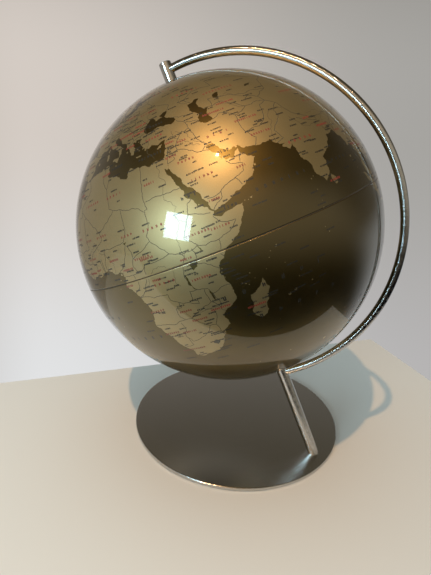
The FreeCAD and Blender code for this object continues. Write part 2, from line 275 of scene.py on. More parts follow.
# %% Room tones
TO_WALL = Vector((-0.6, 0.8, 0))
ALONG_WALL = Vector((0.8, 0.6, 0))
LAMP_TURN, LAMP_RISE = -1.2, 59.0
LEFT_LOW, LEFT_HIGH = (0.76, 0.77, 0.78, 1), (0.66, 0.60, 0.55, 1)
LEFT_END = (0.32, 0.29, 0.25, 1)
RIGHT_LOW, RIGHT_HIGH = (0.47, 0.46, 0.46, 1), (0.38, 0.37, 0.35, 1)
RIGHT_END_LOW, RIGHT_END_HIGH = (0.44, 0.46, 0.47, 1), (0.13, 0.115, 0.09, 1)
OVERHEAD = (0.07, 0.055, 0.03, 1)
ROOM_LOW, ROOM_HIGH = (0.002, 0.002, 0.002, 1), (0.43, 0.38, 0.285, 1)
LAMP_GLOW = (1.20, 0.78, 0.42, 1)
BACKDROP = (0.42, 0.40, 0.375, 1)


def build_room():
    world = bpy.data.worlds.new("room")
    world.use_nodes = True
    sheet = Sheet(world.node_tree)
    look = sheet.node("TexCoord", output=0)

    def facing(axis):
        return sheet.node("VectorMath", {"operation": "DOT_PRODUCT"}, {0: look, 1: tuple(axis)}, output=1)

    wall = facing(TO_WALL)
    right = facing(ALONG_WALL)
    high = facing((0, 0, 1))
    near_left = sheet.mix(high.between(-0.55, 0.0), LEFT_LOW, LEFT_HIGH)
    left_wall = sheet.mix(right.between(-0.45, -0.05), LEFT_END, near_left)
    near_right = sheet.mix(high.between(-0.5, 0.0), RIGHT_LOW, RIGHT_HIGH)
    far_right = sheet.mix(high.between(-0.12, 0.10), RIGHT_END_LOW, RIGHT_END_HIGH)
    right_wall = sheet.mix(right.between(0.70, 0.95), near_right, far_right)
    wall_tone = sheet.mix(right.between(-0.1, 0.7), left_wall, right_wall)
    wall_tone = sheet.mix(high.between(0.10, 0.70), wall_tone, OVERHEAD)
    room_tone = sheet.mix(high.between(-0.30, 0.30), ROOM_LOW, ROOM_HIGH)
    lamp_side = facing(direction(LAMP_TURN, LAMP_RISE)).between(0.72, 1.0)
    room_tone = sheet.mix(lamp_side, room_tone, LAMP_GLOW)
    tone = sheet.mix((wall + 0.8 * high).between(-0.45, 0.10), room_tone, wall_tone)
    seen = sheet.node("LightPath", output=0)
    backdrop = sheet.mix((wall + 0.3 * high).between(-0.1, 0.4), BACKDROP, tone)
    tone = sheet.mix(seen, tone, backdrop)
    background = world.node_tree.nodes["Background"]
    world.node_tree.links.new(tone.socket, background.inputs["Color"])
    bpy.context.scene.world = world
    return world


room = build_room()
print("tones of the", room.name, "set with", len(room.node_tree.nodes), "nodes")

# %% [markdown]
# Three lights do the rest. A cool soft box low on the left stands for a window, and a small
# warm lamp hangs high in front. A broad cool panel overhead only fills the shadows: it is
# hidden from glossy rays, so it leaves no patch on the ball. Each light is placed by the
# direction it is seen in from the ball.

# %% Lights
WINDOW_COLOUR, LAMP_COLOUR, FILL_COLOUR = (0.60, 0.88, 1.0), (1.0, 0.60, 0.30), (0.64, 0.88, 1.0)


def add_light(name, turn, rise, distance, size, power, colour, height=None, glossy=True):
    """An area light that faces the ball's centre."""
    data = bpy.data.lights.new(name, "AREA")
    data.shape = "RECTANGLE" if height else "DISK"
    data.size = size
    data.size_y = height or size
    data.energy = power
    data.color = colour
    light = bpy.data.objects.new(name, data)
    bpy.context.scene.collection.objects.link(light)
    light.visible_glossy = glossy
    away = direction(turn, rise)
    aim = away.to_track_quat("Z", "Y").to_matrix().to_4x4()
    light.matrix_world = Matrix.Translation(CENTRE + distance * away) @ aim
    return light


window = add_light("window", -16.9, 11.2, 1.5, size=0.46, power=9.4, colour=WINDOW_COLOUR, height=0.41)
lamp = add_light("lamp", LAMP_TURN, LAMP_RISE, 1.6, size=0.032, power=13.4, colour=LAMP_COLOUR)
fill = add_light("fill", -30.0, 80.0, 2.4, size=3.0, power=44.0, colour=FILL_COLOUR, glossy=False)
print("lights", window.name, lamp.name, fill.name)

# %% [markdown]
# The map starts as coast outlines, each a row of longitude and latitude pairs in degrees. They
# hold only the capes, bays and bends that give a coast its shape. The small wiggles between
# them are added later by a rule, as they would be tedious to type and nobody could check them.

# %% Coasts of Africa, Europe and Asia
LAND = {}
LAND["africa"] = """-5.9 35.8, -2.9 35.3, 3.1 36.8, 9.9 37.3, 11 37, 10.6 35.8, 11.1 35.2, 10.1 33.9,
11.2 33.2, 13.2 32.9, 15.2 32.4, 16.6 31.2, 19.2 30.3, 20 30.9, 20.1 32.1, 21.7 32.9, 23.2 32.2, 25.2 31.6,
29 30.8, 31 31.6, 32.3 31.2, 32.8 30.6, 32.5 29.9, 33.8 27.2, 35.6 23.9, 37.2 21, 37.4 18.7, 38.6 18,
39.5 15.6, 41.2 14.6, 42.7 13, 43.3 12.5, 42.6 11.5, 45 10.4, 47 11.2, 51.3 11.8, 51.1 10.5, 50.1 8.2,
48.5 5.4, 46.6 2.9, 44 1, 42.5 -0.4, 41.6 -1.7, 40.2 -2.7, 39.2 -5.1, 38.8 -6.2, 39.5 -8, 40.3 -10.3,
40.6 -13, 40.7 -15, 39.9 -16.2, 36.9 -17.9, 34.9 -19.8, 35.5 -22.1, 35.5 -23.9, 32.8 -25.6, 32.8 -26.8,
31 -29.9, 27.9 -33, 25.7 -33.9, 22.1 -34.1, 20 -34.8, 18.4 -34.1, 18.2 -31.6, 16.4 -28.6, 15.1 -26.6,
14.5 -22.9, 12.8 -19.5, 11.7 -17.2, 12.1 -15.1, 13.5 -12.6, 13.6 -10.2, 13.1 -8.5, 12.3 -6, 11.1 -3.9,
8.8 -0.7, 9.4 0.4, 9.8 1.9, 9.6 3.9, 8.4 4.6, 6 4.3, 5 5.7, 3.4 6.4, 1.2 6.1, -2.1 4.7, -4 5.3, -7.6 4.4,
-10.8 6.3, -13.2 8.6, -15 11, -16.8 12.4, -17.4 14.7, -16.1 18.1, -17 20.8, -15.9 23.7, -13.2 27.6,
-10.2 29.4, -9.8 31.5, -7.6 33.6"""
LAND["eurasia"] = """32.3 31.1, 34.4 31.5, 35.5 33.9, 36 36.7, 34.6 36.6, 32.8 36, 30.7 36.9, 29.6 36.2,
27.2 37, 26.3 38.4, 26.1 39.7, 26.9 40.5, 24.4 40.9, 24 40.1, 22.9 40.6, 23 39.1, 24 37.8, 23.1 37.5,
23 36.5, 21.7 36.9, 21.2 38.2, 20 39.7, 19.4 41.4, 16.4 43.5, 14.5 45.2, 13.7 45.7, 12.3 45.3, 12.6 44,
14.3 42.4, 16.2 41.8, 18.5 40.1, 17 40.5, 17.1 39, 15.8 38, 15.7 40, 14.1 40.8, 11.1 42.4, 10.2 43.8,
8.9 44.4, 6.6 43.2, 3.1 43.1, 3.2 42.2, 0.7 40.8, -0.3 39.5, 0.1 38.7, -2.2 36.8, -5.4 36.1, -7 37.2, -9 37,
-9.4 38.8, -8.7 41.2, -9.2 43, -5.8 43.6, -1.6 43.5, -1.2 46, -4.6 48.3, -1.6 48.7, -1.7 49.7, 1.6 50.9,
4.4 52.3, 8.6 53.8, 8.3 55.6, 8.4 57, 10.6 57.7, 10.3 56, 10 54.5, 14.2 53.9, 18.6 54.6, 21.1 55.7,
21.7 57.5, 24.2 57, 23.5 58.7, 28 59.5, 30 59.9, 25 60.2, 21.6 60.6, 21.3 63, 25.3 65, 22.2 65.7, 17.5 62.3,
17.3 60.7, 18.6 59.5, 16.4 56.8, 14.3 55.5, 12.8 55.6, 11 59, 8 58.1, 5.5 58.9, 5 61.5, 10.5 64.2,
14.8 67.6, 20 70, 25.8 71.1, 31.1 70.3, 41 67, 33 66.7, 34.8 64.5, 40 64.7, 44 66.3, 44 68.3, 46.5 66.8,
54 68.5, 60.5 69, 68 68.5, 67 71.5, 72.7 72.7, 73.6 67.3, 74.3 71.8, 81 72.2, 87 75.1, 104.3 77.6, 113 75.7,
107 73.3, 127.3 73.4, 130 71, 140 72.4, 160.5 69.6, 178 69.5, 190.3 66.1, 180 65, 179 62.5, 170.3 60,
163.3 57.8, 162 54.9, 156.7 51, 155.6 56, 163 61.8, 157 61.6, 151 59.4, 143 59.3, 135.3 54.7, 141.2 53.2,
140.3 48.9, 135.5 44.4, 131.9 43.1, 127.6 39.7, 129.4 37.1, 129 35.2, 126.4 34.5, 126.6 37.3, 125.1 39.6,
121.4 39, 121.6 40.8, 117.8 38.9, 119 37.3, 122.6 37.2, 119.3 35, 121.8 32, 122 29.8, 119.7 25.7,
114.2 22.4, 110.2 20.6, 108 21.6, 105.9 19.5, 108.9 15.3, 109.2 11.8, 106.6 9.8, 104.8 8.7, 105 10.2,
102.6 12, 100.9 13.4, 99.3 10.2, 100.5 7.2, 103.3 4.7, 104.2 1.4, 101.4 2.7, 98.4 7.9, 98.6 12.6, 97.6 16.3,
94.5 15.9, 93.8 19.5, 91.8 22.3, 87.2 21.5, 86.7 20.2, 82.3 16.7, 80.2 15.4, 80.3 13.1, 79.8 10.4, 78.2 8.8,
77.5 8.1, 76.2 10, 74.8 12.9, 73.2 16.8, 72.8 20.5, 72.4 22.2, 71 20.8, 69 22.3, 70.4 23, 67.3 24.1,
66.6 25.4, 61.6 25.1, 57.8 25.7, 56.6 27.1, 54.5 26.6, 51.5 27.8, 50 30.1, 48 30, 48.6 28.2, 50.2 26.2,
50.8 24.8, 51.2 26.1, 51.6 24.4, 54.3 24.2, 56.3 26.3, 56.5 24.6, 59.8 22.5, 57.8 19, 55.2 17.4, 52.2 15.6,
47.5 13.6, 45 12.8, 43.4 12.7, 42.8 15.5, 41.2 18.8, 39.1 21.3, 37.2 24.7, 34.8 28, 35 29.5, 34.3 27.8,
33.2 28.7, 32.4 29.9"""
print("main outlines:", sorted(LAND))

# %% [markdown]
# The ball turns, so the coasts that start out round the back are drawn as well. They have fewer
# corners than the coasts of Africa and Asia, which face the reader when the joint is at rest.

# %% Coasts of the Americas, Australia and the polar lands
LAND["north_america"] = """-168 65.6, -161.5 64.4, -165.4 61.5, -162 59, -157.5 58.7, -164.8 54.7, -154 58,
-151.6 60.8, -148 60, -139.6 59.6, -133 55.5, -128 51.5, -122.8 48.6, -124.6 48.3, -124.3 40.4, -122 36.9,
-118 33.8, -115.9 30.4, -112.2 25.5, -109.9 22.9, -112.8 28.2, -114.7 31.6, -111 27.9, -105.6 21.5,
-103.5 18.3, -96.2 15.8, -92.2 14.5, -87.6 13, -85.7 10, -82.8 8.2, -79.6 8.9, -77.9 7.2, -76.8 8.5,
-79.6 9.5, -83.4 11, -83.2 15, -88.6 15.9, -87.1 21.4, -90.4 21, -92 18.6, -95.8 18.8, -97.8 22.3,
-97.3 27.6, -94 29.6, -89.4 29.1, -84 30, -82.7 27.6, -81 25.2, -80.1 27, -81.3 31, -76 35.2, -75.8 37.5,
-74 40.5, -70 41.8, -70.6 43.2, -65.5 45, -66 43.6, -60.2 46, -65 47.8, -69.5 48.2, -60 50.2, -55.8 52.5,
-61.8 57.3, -64.5 60.3, -69 59.3, -78 62.4, -76.8 57, -79 54.8, -79.3 51.5, -82.2 53.2, -88 56.5, -92.5 57,
-94.5 60, -87 64.2, -81.5 68, -88 68.8, -94.5 71.8, -96.5 68.3, -115 68, -128 70.4, -141 69.6, -156.5 71.3,
-166 68.3, -162 66.4"""
LAND["south_america"] = """-78.2 7.8, -77.3 4, -80 0.6, -80.9 -2.2, -81.3 -5, -79 -8.5, -76.3 -13.6,
-70.4 -18.4, -70.5 -24, -71.6 -32.5, -73.6 -38, -74.5 -44, -75.4 -49, -72 -54, -67 -55.7, -65.5 -54.7,
-68.6 -52, -65.9 -47.5, -67.4 -45.8, -64 -42.5, -65 -40.9, -62.2 -38.9, -57.6 -38, -57.3 -36, -58.4 -34.2,
-53.5 -34, -48.7 -28.3, -48.2 -25.4, -41.2 -22.3, -39 -16, -38 -12.6, -34.9 -8, -35.4 -5.2, -41 -2.9,
-48 -0.8, -51 3.8, -57.2 6, -61.9 10, -71.8 12.2, -75.5 10.5"""
LAND["greenland"] = """-73 78.2, -60 82, -32 83.5, -18 80, -20 75, -26 69, -40 65, -43.5 60, -50 62,
-53.5 67, -54 71, -62 76"""
LAND["baffin"] = "-65 62, -74 64.5, -72.5 67.5, -88 70.5, -88 73.3, -75 72, -62 66.6"
LAND["ellesmere"] = "-90 76.4, -80 76.2, -62 82.5, -90 81.5"
LAND["victoria_island"] = "-117 70, -103 69, -105 72.8, -118 71.5"
LAND["newfoundland"] = "-59.3 47.7, -55.7 51.5, -53 47, -56 47"
LAND["cuba"] = "-84.9 21.9, -82.5 23.1, -79.3 22.8, -74.2 20.2, -77.7 19.9, -81.8 22.3"
LAND["hispaniola"] = "-74.4 18.4, -73 19.9, -68.4 18.6"
LAND["australia"] = """142.5 -10.8, 143.6 -14.2, 146 -18.8, 150.8 -23.3, 153.4 -27, 151.2 -34, 150 -37.3,
146.3 -39, 143.5 -38.7, 140 -37, 138 -35.5, 137.7 -33, 135.7 -34.8, 131.2 -31.5, 124 -33, 120 -33.9,
118 -35, 115.1 -34.2, 115.6 -31.5, 113.4 -26, 113.9 -22, 121.3 -19.3, 123 -16.6, 126.5 -14, 129.4 -14.9,
131 -12.3, 136.7 -12.2, 135.6 -15, 139.5 -17.5, 141.6 -14.5"""
LAND["tasmania"] = "144.7 -40.8, 148.2 -40.9, 147 -43.5, 145.4 -42.5"
LAND["new_zealand_north"] = "172.8 -34.4, 176 -37.6, 178.4 -37.8, 175.3 -41.6, 173.9 -39.3, 174.6 -37.5"
LAND["new_zealand_south"] = "172.8 -40.6, 174.2 -41.7, 170.7 -45.9, 166.6 -46, 171.2 -42.4"
LAND["antarctica"] = """-175 -84.5, -158 -78.5, -130 -74.5, -100 -72.5, -75 -73, -66 -67, -57.5 -63.3,
-62 -70, -62 -75, -70 -78, -35 -78, -20 -73.5, 0 -69.8, 32 -68.6, 50 -66.5, 73 -69.8, 95 -66.5, 135 -66.2,
155 -69.5, 170 -71.5, 165 -78"""
print(len(LAND), "outlines so far")

# %% [markdown]
# Islands are outlines like any other. Three corners are enough for a small one, because the
# wandering line rounds them off. Islets smaller than that come later, as plain spots of land.

# %% Islands of the Old World
LAND["madagascar"] = """49.3 -12, 50.4 -15.7, 49.5 -17.9, 47.1 -24.9, 45.3 -25.6, 43.7 -23.6, 43.4 -21.8,
44.4 -19.6, 44.4 -16.2, 47.5 -14.9"""
LAND["sri_lanka"] = "79.9 9.7, 81.3 8.4, 81.8 7, 80.6 5.9, 79.9 7"
LAND["socotra"] = "53.2 12.6, 54.5 12.6, 54 12.2"
LAND["britain"] = """-5.7 50.1, -3.4 50.4, 1.4 51.1, 1.7 52.6, 0.2 53, -2 55.8, -1.9 57.6, -4 57.7,
-3.1 58.6, -5.2 58.5, -5.6 56, -4.9 54.8, -3 54, -4.4 53.2, -5.1 51.8, -3 51.4"""
LAND["ireland"] = "-6.2 53.4, -5.6 54.6, -7.3 55.3, -10 54.2, -10.3 52, -6.4 52.2"
LAND["iceland"] = "-22.5 64, -24 65.5, -22 66.3, -16 66.5, -13.7 65, -18.5 63.4"
LAND["corsica"] = "9.4 43, 9.3 41.4, 8.6 42.2"
LAND["sardinia"] = "9.2 41.2, 9.8 40.5, 9.5 39.1, 8.4 39, 8.3 40.8"
LAND["sicily"] = "12.5 38, 15.6 38.2, 15.1 36.7, 12.5 37.6"
LAND["crete"] = "23.6 35.6, 26.3 35.2, 24.8 34.9"
LAND["cyprus"] = "32.3 35, 34.5 35.7, 33.9 34.9, 32.8 34.6"
LAND["zealand"] = "11.2 55.3, 12.5 56, 12 54.8"
LAND["novaya_zemlya"] = "51.7 71.5, 56 75, 68.5 76.9, 58.8 74, 57.5 70.7"
LAND["svalbard"] = "11 79.2, 20 80.2, 22 78.5, 16.7 76.7"
LAND["severnaya_zemlya"] = "95 80.6, 105 79, 100 78.2"
LAND["new_siberian"] = "138 75.8, 149 75.2, 143 73.8"
LAND["sakhalin"] = "142.7 54.3, 144.4 49, 143.5 46.2, 142 46.2, 142.1 50"
LAND["hokkaido"] = "140.2 41.7, 143.2 42, 145.4 43.3, 142 45.4, 140.6 43.2"
LAND["honshu"] = """140.9 41.5, 142 39.5, 140.8 35.7, 138.8 34.7, 135.8 33.6, 130.9 34, 132.7 35.5,
136.7 36.9, 139.8 39"""
LAND["kyushu"] = "131 33.9, 131.8 32.8, 131 31.3, 130 31.5, 129.8 33.2"
LAND["shikoku"] = "132.5 33.8, 134.6 34.2, 134 33.3, 132.9 32.8"
LAND["taiwan"] = "121.5 25.2, 121.3 23, 120.8 22, 120.2 23.2"
LAND["hainan"] = "108.7 19.3, 110.7 20.1, 110 18.4"
LAND["luzon"] = "120.6 18.5, 122.2 18.4, 121.6 16, 124 13, 122.3 13.6, 120.5 13.9, 119.9 16.3"
LAND["mindanao"] = "122 7, 123.6 8.6, 125.5 9.7, 126.4 7, 125.4 5.7, 123.6 7.5"
LAND["visayas"] = "122 11.8, 125.2 12.4, 125.3 10.3, 122.6 9.4"
LAND["palawan"] = "117.2 8.4, 119.4 11.3, 119.3 10.3"
LAND["borneo"] = """109.6 2, 113 3.2, 116.8 7, 119.2 5.2, 117.8 2, 118.9 0.9, 117.4 -0.6, 116.2 -3.9,
114.6 -4.1, 111.7 -3.4, 110 -1.3, 109 0.5"""
LAND["sumatra"] = """95.3 5.6, 97.5 5.2, 100.4 2.4, 103.6 0, 106 -3.1, 105.8 -5.8, 104.6 -5.8, 100.6 -1.8,
98.7 1.7"""
LAND["java"] = "105.3 -6.7, 108.5 -6.6, 112.6 -6.9, 114.5 -7.8, 114.4 -8.7, 108.3 -7.8"
LAND["sunda"] = "115.2 -8.2, 122.8 -8.2, 122.6 -8.8, 115.3 -8.9"
LAND["timor"] = "123.6 -10.2, 127.2 -8.4, 125.6 -8.5"
LAND["sulawesi"] = """119.5 -5.4, 119 -2.8, 120 0.6, 121 1.3, 125 1.6, 124 0.4, 120.3 0.4, 120.6 -1,
123.2 -0.9, 121.7 -2, 122.8 -4.7, 121.5 -4.6, 120.8 -2.8, 120.3 -5.5"""
LAND["seram"] = "128 -3, 130.8 -3.1, 129 -3.5"
LAND["halmahera"] = "127.6 1.9, 128.7 1.2, 127.8 -0.7"
LAND["new_guinea"] = """131.2 -0.8, 134.1 -0.8, 135.2 -3.3, 137.8 -1.5, 144.5 -3.9, 147.8 -6.1, 147.2 -7,
150.7 -10.4, 147.2 -9.5, 144.2 -7.7, 143 -9.2, 138.3 -8.2, 138 -5.6, 133 -4, 132.6 -2.7"""
LAND["new_britain"] = "148.5 -5.7, 152 -4.2, 151 -6"
print(len(LAND), "coast outlines")

# %% [markdown]
# Inner seas and lakes are outlines too, but they stand for water. They have a table of their
# own, because they come after the land and so win wherever they overlap it.

# %% Seas and lakes that lie inside the land
WATER = {
    "black_sea": """29.1 41.3, 27.7 42.6, 28.7 44.2, 30.8 46.5, 32.8 46, 33.3 44.7, 36.4 45.2, 35 46.2,
38.6 47.1, 38 45.6, 37.4 44.8, 39.7 43.5, 41.6 42.1, 39.7 41, 36.4 41.4, 35 42, 31.8 41.4""",
    "marmara": "27.3 40.6, 29 41, 29.2 40.6",
    "caspian": """47.6 45.6, 51.2 47, 53 46.7, 51.2 44.6, 51.2 43.2, 52.6 41.6, 54.4 41.8, 53 40, 53.8 37,
51.5 36.6, 49.4 37.5, 49.2 39.3, 50.2 40.4, 47.5 43""",
    "aral": "58.5 45.8, 61.6 46.6, 60 43.8, 58.4 44.5",
    "balkhash": "73.6 45.4, 78.8 46.8, 75.5 46.5",
    "baikal": "104 51.6, 109.7 54.5, 109.5 55.6, 105.8 52.7",
    "ladoga": "31 60.1, 32.8 60.9, 30.9 61.6",
    "onega": "34.8 61, 36.2 61.4, 34.6 62.5",
    "victoria": "31.8 -0.9, 32.4 0.2, 34.1 0.1, 33.8 -1.8, 32.2 -2.6",
    "tanganyika": "29.2 -3.4, 29.9 -5.5, 31.1 -8.6, 30.5 -8.5, 29.2 -6",
    "malawi": "34 -9.6, 34.9 -11.5, 35.1 -14.3, 34.4 -13.5, 34 -11",
    "turkana": "35.9 4.6, 36.6 2.6, 36.2 2.5",
    "chad": "13.4 13.4, 14.8 13.4, 14 12.6",
    "superior": "-92 46.7, -88.2 48.8, -84.8 46.6, -88 46.8",
    "michigan": "-87.8 42, -87.5 45, -85.3 46, -86.4 43, -87.2 41.7",
    "huron": "-84.4 46, -80.2 45.5, -81.7 43.2, -83.4 45",
    "erie": "-83.3 41.7, -79 42.8, -81 41.7",
    "bear_lake": "-124 66.5, -118 66.5, -122 65",
    "slave_lake": "-117 61.2, -109.5 62.8, -113 61",
}
print(len(WATER), "inner seas and lakes")

# %% [markdown]
# Borders are thin dark lines. Each one is a row of places, as the coasts are, and the rows are
# parted by semicolons. Rivers are drawn the same way, only thinner.

# %% Borders and rivers
BORDERS = """-2.2 35.1, -1.2 32.3, -3.6 30.9, -8.7 28.7, -8.7 26, -12 26, -12 23.4, -13.1 21.3, -17 21.4;
-8.7 27.3, -4.8 25, -6.6 24.9, -5.5 15.5, -9.5 15.4, -12.2 14.8, -16.5 16.2; -4.8 25, 1.2 21.1, 3.3 19,
4.2 16.9, 0.2 15, -2 14.2, -4.5 12.7, -5.5 10.4; 4.2 19.2, 7.5 20.9, 12 23.5, 10.2 24.4, 9.5 30.2, 7.5 33.8,
8.6 36.9; 11.5 33.2, 9.5 30.2; 12 23.5, 15 23, 24 19.5, 24 20, 25 20, 25 29.2, 25.1 31.6; 25 22, 31.4 22,
36.9 22; 24 19.5, 24 15.7, 22.3 12.7, 22.9 11, 27.4 5.1; 15 23, 15.5 16.9, 13.6 13.7, 7 13, 4.1 13.5,
3.6 11.7, 2.7 6.4; 14 12.5, 11.5 6.8, 8.6 4.8; 14.2 12.5, 15.5 10, 15.4 7.5, 19 8.9, 22.9 11; 15.4 7.5,
14.5 5, 16.1 2.2, 13.3 2.2, 9.8 2.3; 16.1 2.2, 18.6 4.3, 22.5 4.1, 27.4 5.1, 30.9 3.5, 31.2 2.2, 29.7 -1,
29.2 -4.4; 30.9 3.5, 35.9 4.7, 33 7.8, 34.3 10.6, 36.4 14.4, 37 17.1, 38.6 18; 36.4 14.4, 42.3 12.5;
35.9 4.7, 38.1 3.6, 41.9 3.9, 45 5, 48 8, 44 9, 42.6 11.2; 41.9 3.9, 41 -0.9, 41.6 -1.7; 34 4.2, 34.5 1.1,
33.9 -1, 37.6 -3, 39.2 -4.7; 30.8 -1, 33.9 -1; 31.1 -8.7, 34 -9.5; 34.6 -11.6, 40.4 -10.5; 18.6 4.3,
17.7 0.5, 16.2 -2.2, 15.2 -4.3, 12.2 -5.9; 13.3 2.2, 14.2 0, 13.8 -2.4, 11.1 -3.9; 12.3 -6, 16.9 -7.2,
21.8 -7.3, 21.9 -9.6, 24 -11, 27.2 -12.1, 29.8 -13.4, 29.8 -12.2, 28.4 -11.8, 28.7 -8.5, 31.1 -8.7; 24 -11,
24 -13, 22 -13, 22 -16.2, 23.4 -17.6, 14 -17.4, 11.8 -17.2; 21 -18.3, 21 -22, 20 -22, 20 -28.4, 16.4 -28.6;
20 -24.8, 20.8 -26.8, 25.6 -25.7, 29.4 -22.2, 27.5 -20.5, 25.2 -17.8, 28.9 -15.9, 30.4 -15.6, 30.2 -14.9,
33.2 -14, 33 -9.4; 23.4 -17.6, 25.2 -17.8; 30.4 -16, 32.9 -16.7, 32.7 -20, 31.3 -22.4, 29.4 -22.2;
31.3 -22.4, 32 -26.8, 32.9 -26.8; 33.2 -14, 35.3 -17.1, 35.7 -14.6, 34.6 -11.6; 27 -29.6, 28.4 -28.6,
29.4 -29.4, 28.2 -30.6, 27 -29.6; -11.4 12.4, -8 10.2, -5.5 10.4, -2.8 9.6, -3.1 5.1; 0 11, 0.5 8, 1.2 6.1;
0.9 11, 1.6 6.2; -11.4 6.9, -8.5 7.6, -7.5 4.4; -13.3 9, -10.3 8.5; -15 10.9, -11.4 12.4, -12.2 14.8;
34.9 29.5, 35.6 32.7, 36.5 34.3; 34.9 29.4, 37.5 30, 37 31.5, 39.2 32.1, 42 31.1, 44.7 29.2, 48.4 28.5;
35.7 32.7, 38.8 33.4, 41.4 36.5, 42.4 37.1; 39 32.1, 38.8 33.4; 36 36, 38 36.8, 44.8 37.2, 44.4 39.5,
41.5 41.5; 46.5 29.1, 47.9 30; 44.8 37.2, 46 33, 48.6 29.9; 44.4 39.5, 48 38.8, 48.9 38.4; 40 43.4, 46 41.9,
48.5 41.8; 42.8 16.4, 47 17, 52 19, 55 20, 55.7 22, 52.6 22.9, 51.5 24.2; 52 19, 53.1 16.6; 55.2 22.7,
56.4 24.9; 43.4 12.8, 46.8 15.5, 47 17; 61.6 25.2, 63.2 27.2, 61 29.8, 61.2 35.6, 59 37.4, 56.5 38.2,
53.9 37; 61.2 35.6, 66.5 37.4, 71.5 38, 74.8 37.3, 71.6 36.4, 69.3 31.9, 66.3 29.9, 61 29.8; 68.2 23.7,
71 24.4, 69.6 27.2, 74.5 31, 74.5 33, 77.8 35.5, 74.8 37.3; 77.8 35.5, 79 32.5, 81 30.2, 86 28, 91.7 27.8,
97.3 28.2, 98.7 25.5, 97.6 24, 101.1 21.6, 100.1 20.3, 97.4 18.5, 99.2 12.5, 98.7 10.3; 80.1 28.8, 84 27.4,
88.1 26.4, 88.1 27.9; 89 21.9, 88.1 24.5, 92 25.1, 92.6 21, 93.3 24, 97.3 28.2; 101.1 21.6, 105.3 23.3,
108 21.5; 102.2 22.5, 107 16.8, 107.5 14.4, 104.5 10.4; 100.1 20.3, 101.2 17.6, 104.7 16.8, 105.6 14.4,
102.9 11.7; 100.1 6.5, 102.1 6.2; 109.6 2, 111.5 1, 115.7 4.3, 117.7 4.2; 141 -2.6, 141 -9.1; 74.8 37.3,
73.7 39.5, 80.2 42.1, 83 47.2, 87.8 49.2, 91 45.2, 96.5 42.7, 105 41.6, 112 45, 119.8 46.7, 116.7 49.9,
106.5 50.3, 98 52, 87.8 49.2; 116.7 49.9, 120 53.3, 125.5 53, 130.9 47.7, 135 48.4, 131 43, 130.6 42.4,
124.3 40; 126.7 37.9, 128.4 38.6; 49 46.3, 46.9 48.4, 52 51.6, 61.5 51, 61 54, 71 54.2, 80 50.8, 87.3 49.1;
55.9 41.3, 56 45, 61.1 44.3, 66 42.9, 70.9 42.2, 80.2 42.1; 52.5 41.8, 60 42.2, 66.6 37.4; 67.8 39.5,
70.4 41, 73.5 39.5; -8.9 41.9, -6.7 41.9, -7.4 37.2; -1.8 43.4, 3.1 42.5; 7.5 43.8, 7 45.9, 7.5 47.6,
8.2 49, 6.1 49.5, 2.5 51.1; 7 45.9, 13.7 46.5, 13.7 45.6; 7.5 47.6, 13 47.6, 16.9 48; 13.7 46.5, 17.1 48,
13.8 48.8, 12.2 50.3, 14.8 51, 14.2 53.9; 14.8 51, 18.8 49.5, 22.5 49.1, 23.6 51.5, 23.9 53.9, 19.8 54.4;
16.1 46.8, 20.3 46.1, 22.9 48, 22.5 49.1; 22.9 48, 26.6 48.2, 29.6 45.3; 22.7 44.2, 28.6 43.7; 20.3 46.1,
22.7 44.2, 22.4 42.3, 23 41.3, 20 39.7; 23 41.3, 26.4 41.7, 26 40.8; 26.4 41.7, 28 42; 19.4 41.9, 21 40.9;
7 53.3, 6.1 49.5; 11.2 59.1, 12.1 63.5, 20.5 69; 24.2 65.8, 20.5 69, 28.9 69.8, 31.3 62.8, 27.8 60.6;
28 59.5, 28.2 56.1, 31.8 52.1, 40 49.6, 38.3 47.1; 24.4 57.9, 27.5 57.5; 21 56.1, 28.2 56.1; 23.6 51.5,
31.8 52.1; -123 49, -95.2 49, -84.5 46.5, -82.5 42.5, -75 45, -69.2 47.4, -67 44.9; -141 69.6, -141 60.2,
-130 55; -117.1 32.5, -106.5 31.8, -101.4 29.8, -97.2 25.9; -92.2 14.5, -89.2 17.8, -88.3 18.5; -71.3 11.9,
-72.5 8, -67.5 6.2, -67 1.2, -60.7 5.2, -58 1.5, -51.6 4.1; -67 1.2, -69.9 -4.2, -75.2 -0.1, -80.3 -3.4;
-69.9 -4.2, -73.8 -7.3, -69.6 -10.9, -65.3 -10, -58.2 -16.3, -55.8 -22.3, -54.6 -25.6, -57.6 -30.2,
-53.4 -33.7; -69.6 -10.9, -69.5 -17.5, -67 -22.8, -62.7 -22.2, -58.1 -20; -62.7 -22.2, -54.6 -25.6;
-67 -22.8, -70.2 -33, -71.8 -44, -72.5 -50, -68.4 -52.3; 129 -14.9, 129 -31.7; 138 -16.6, 138 -26, 141 -26,
141 -38; 129 -26, 138 -26; 141 -29, 149 -29, 153.4 -28.2; 141 -34, 146 -36, 150 -37.4"""
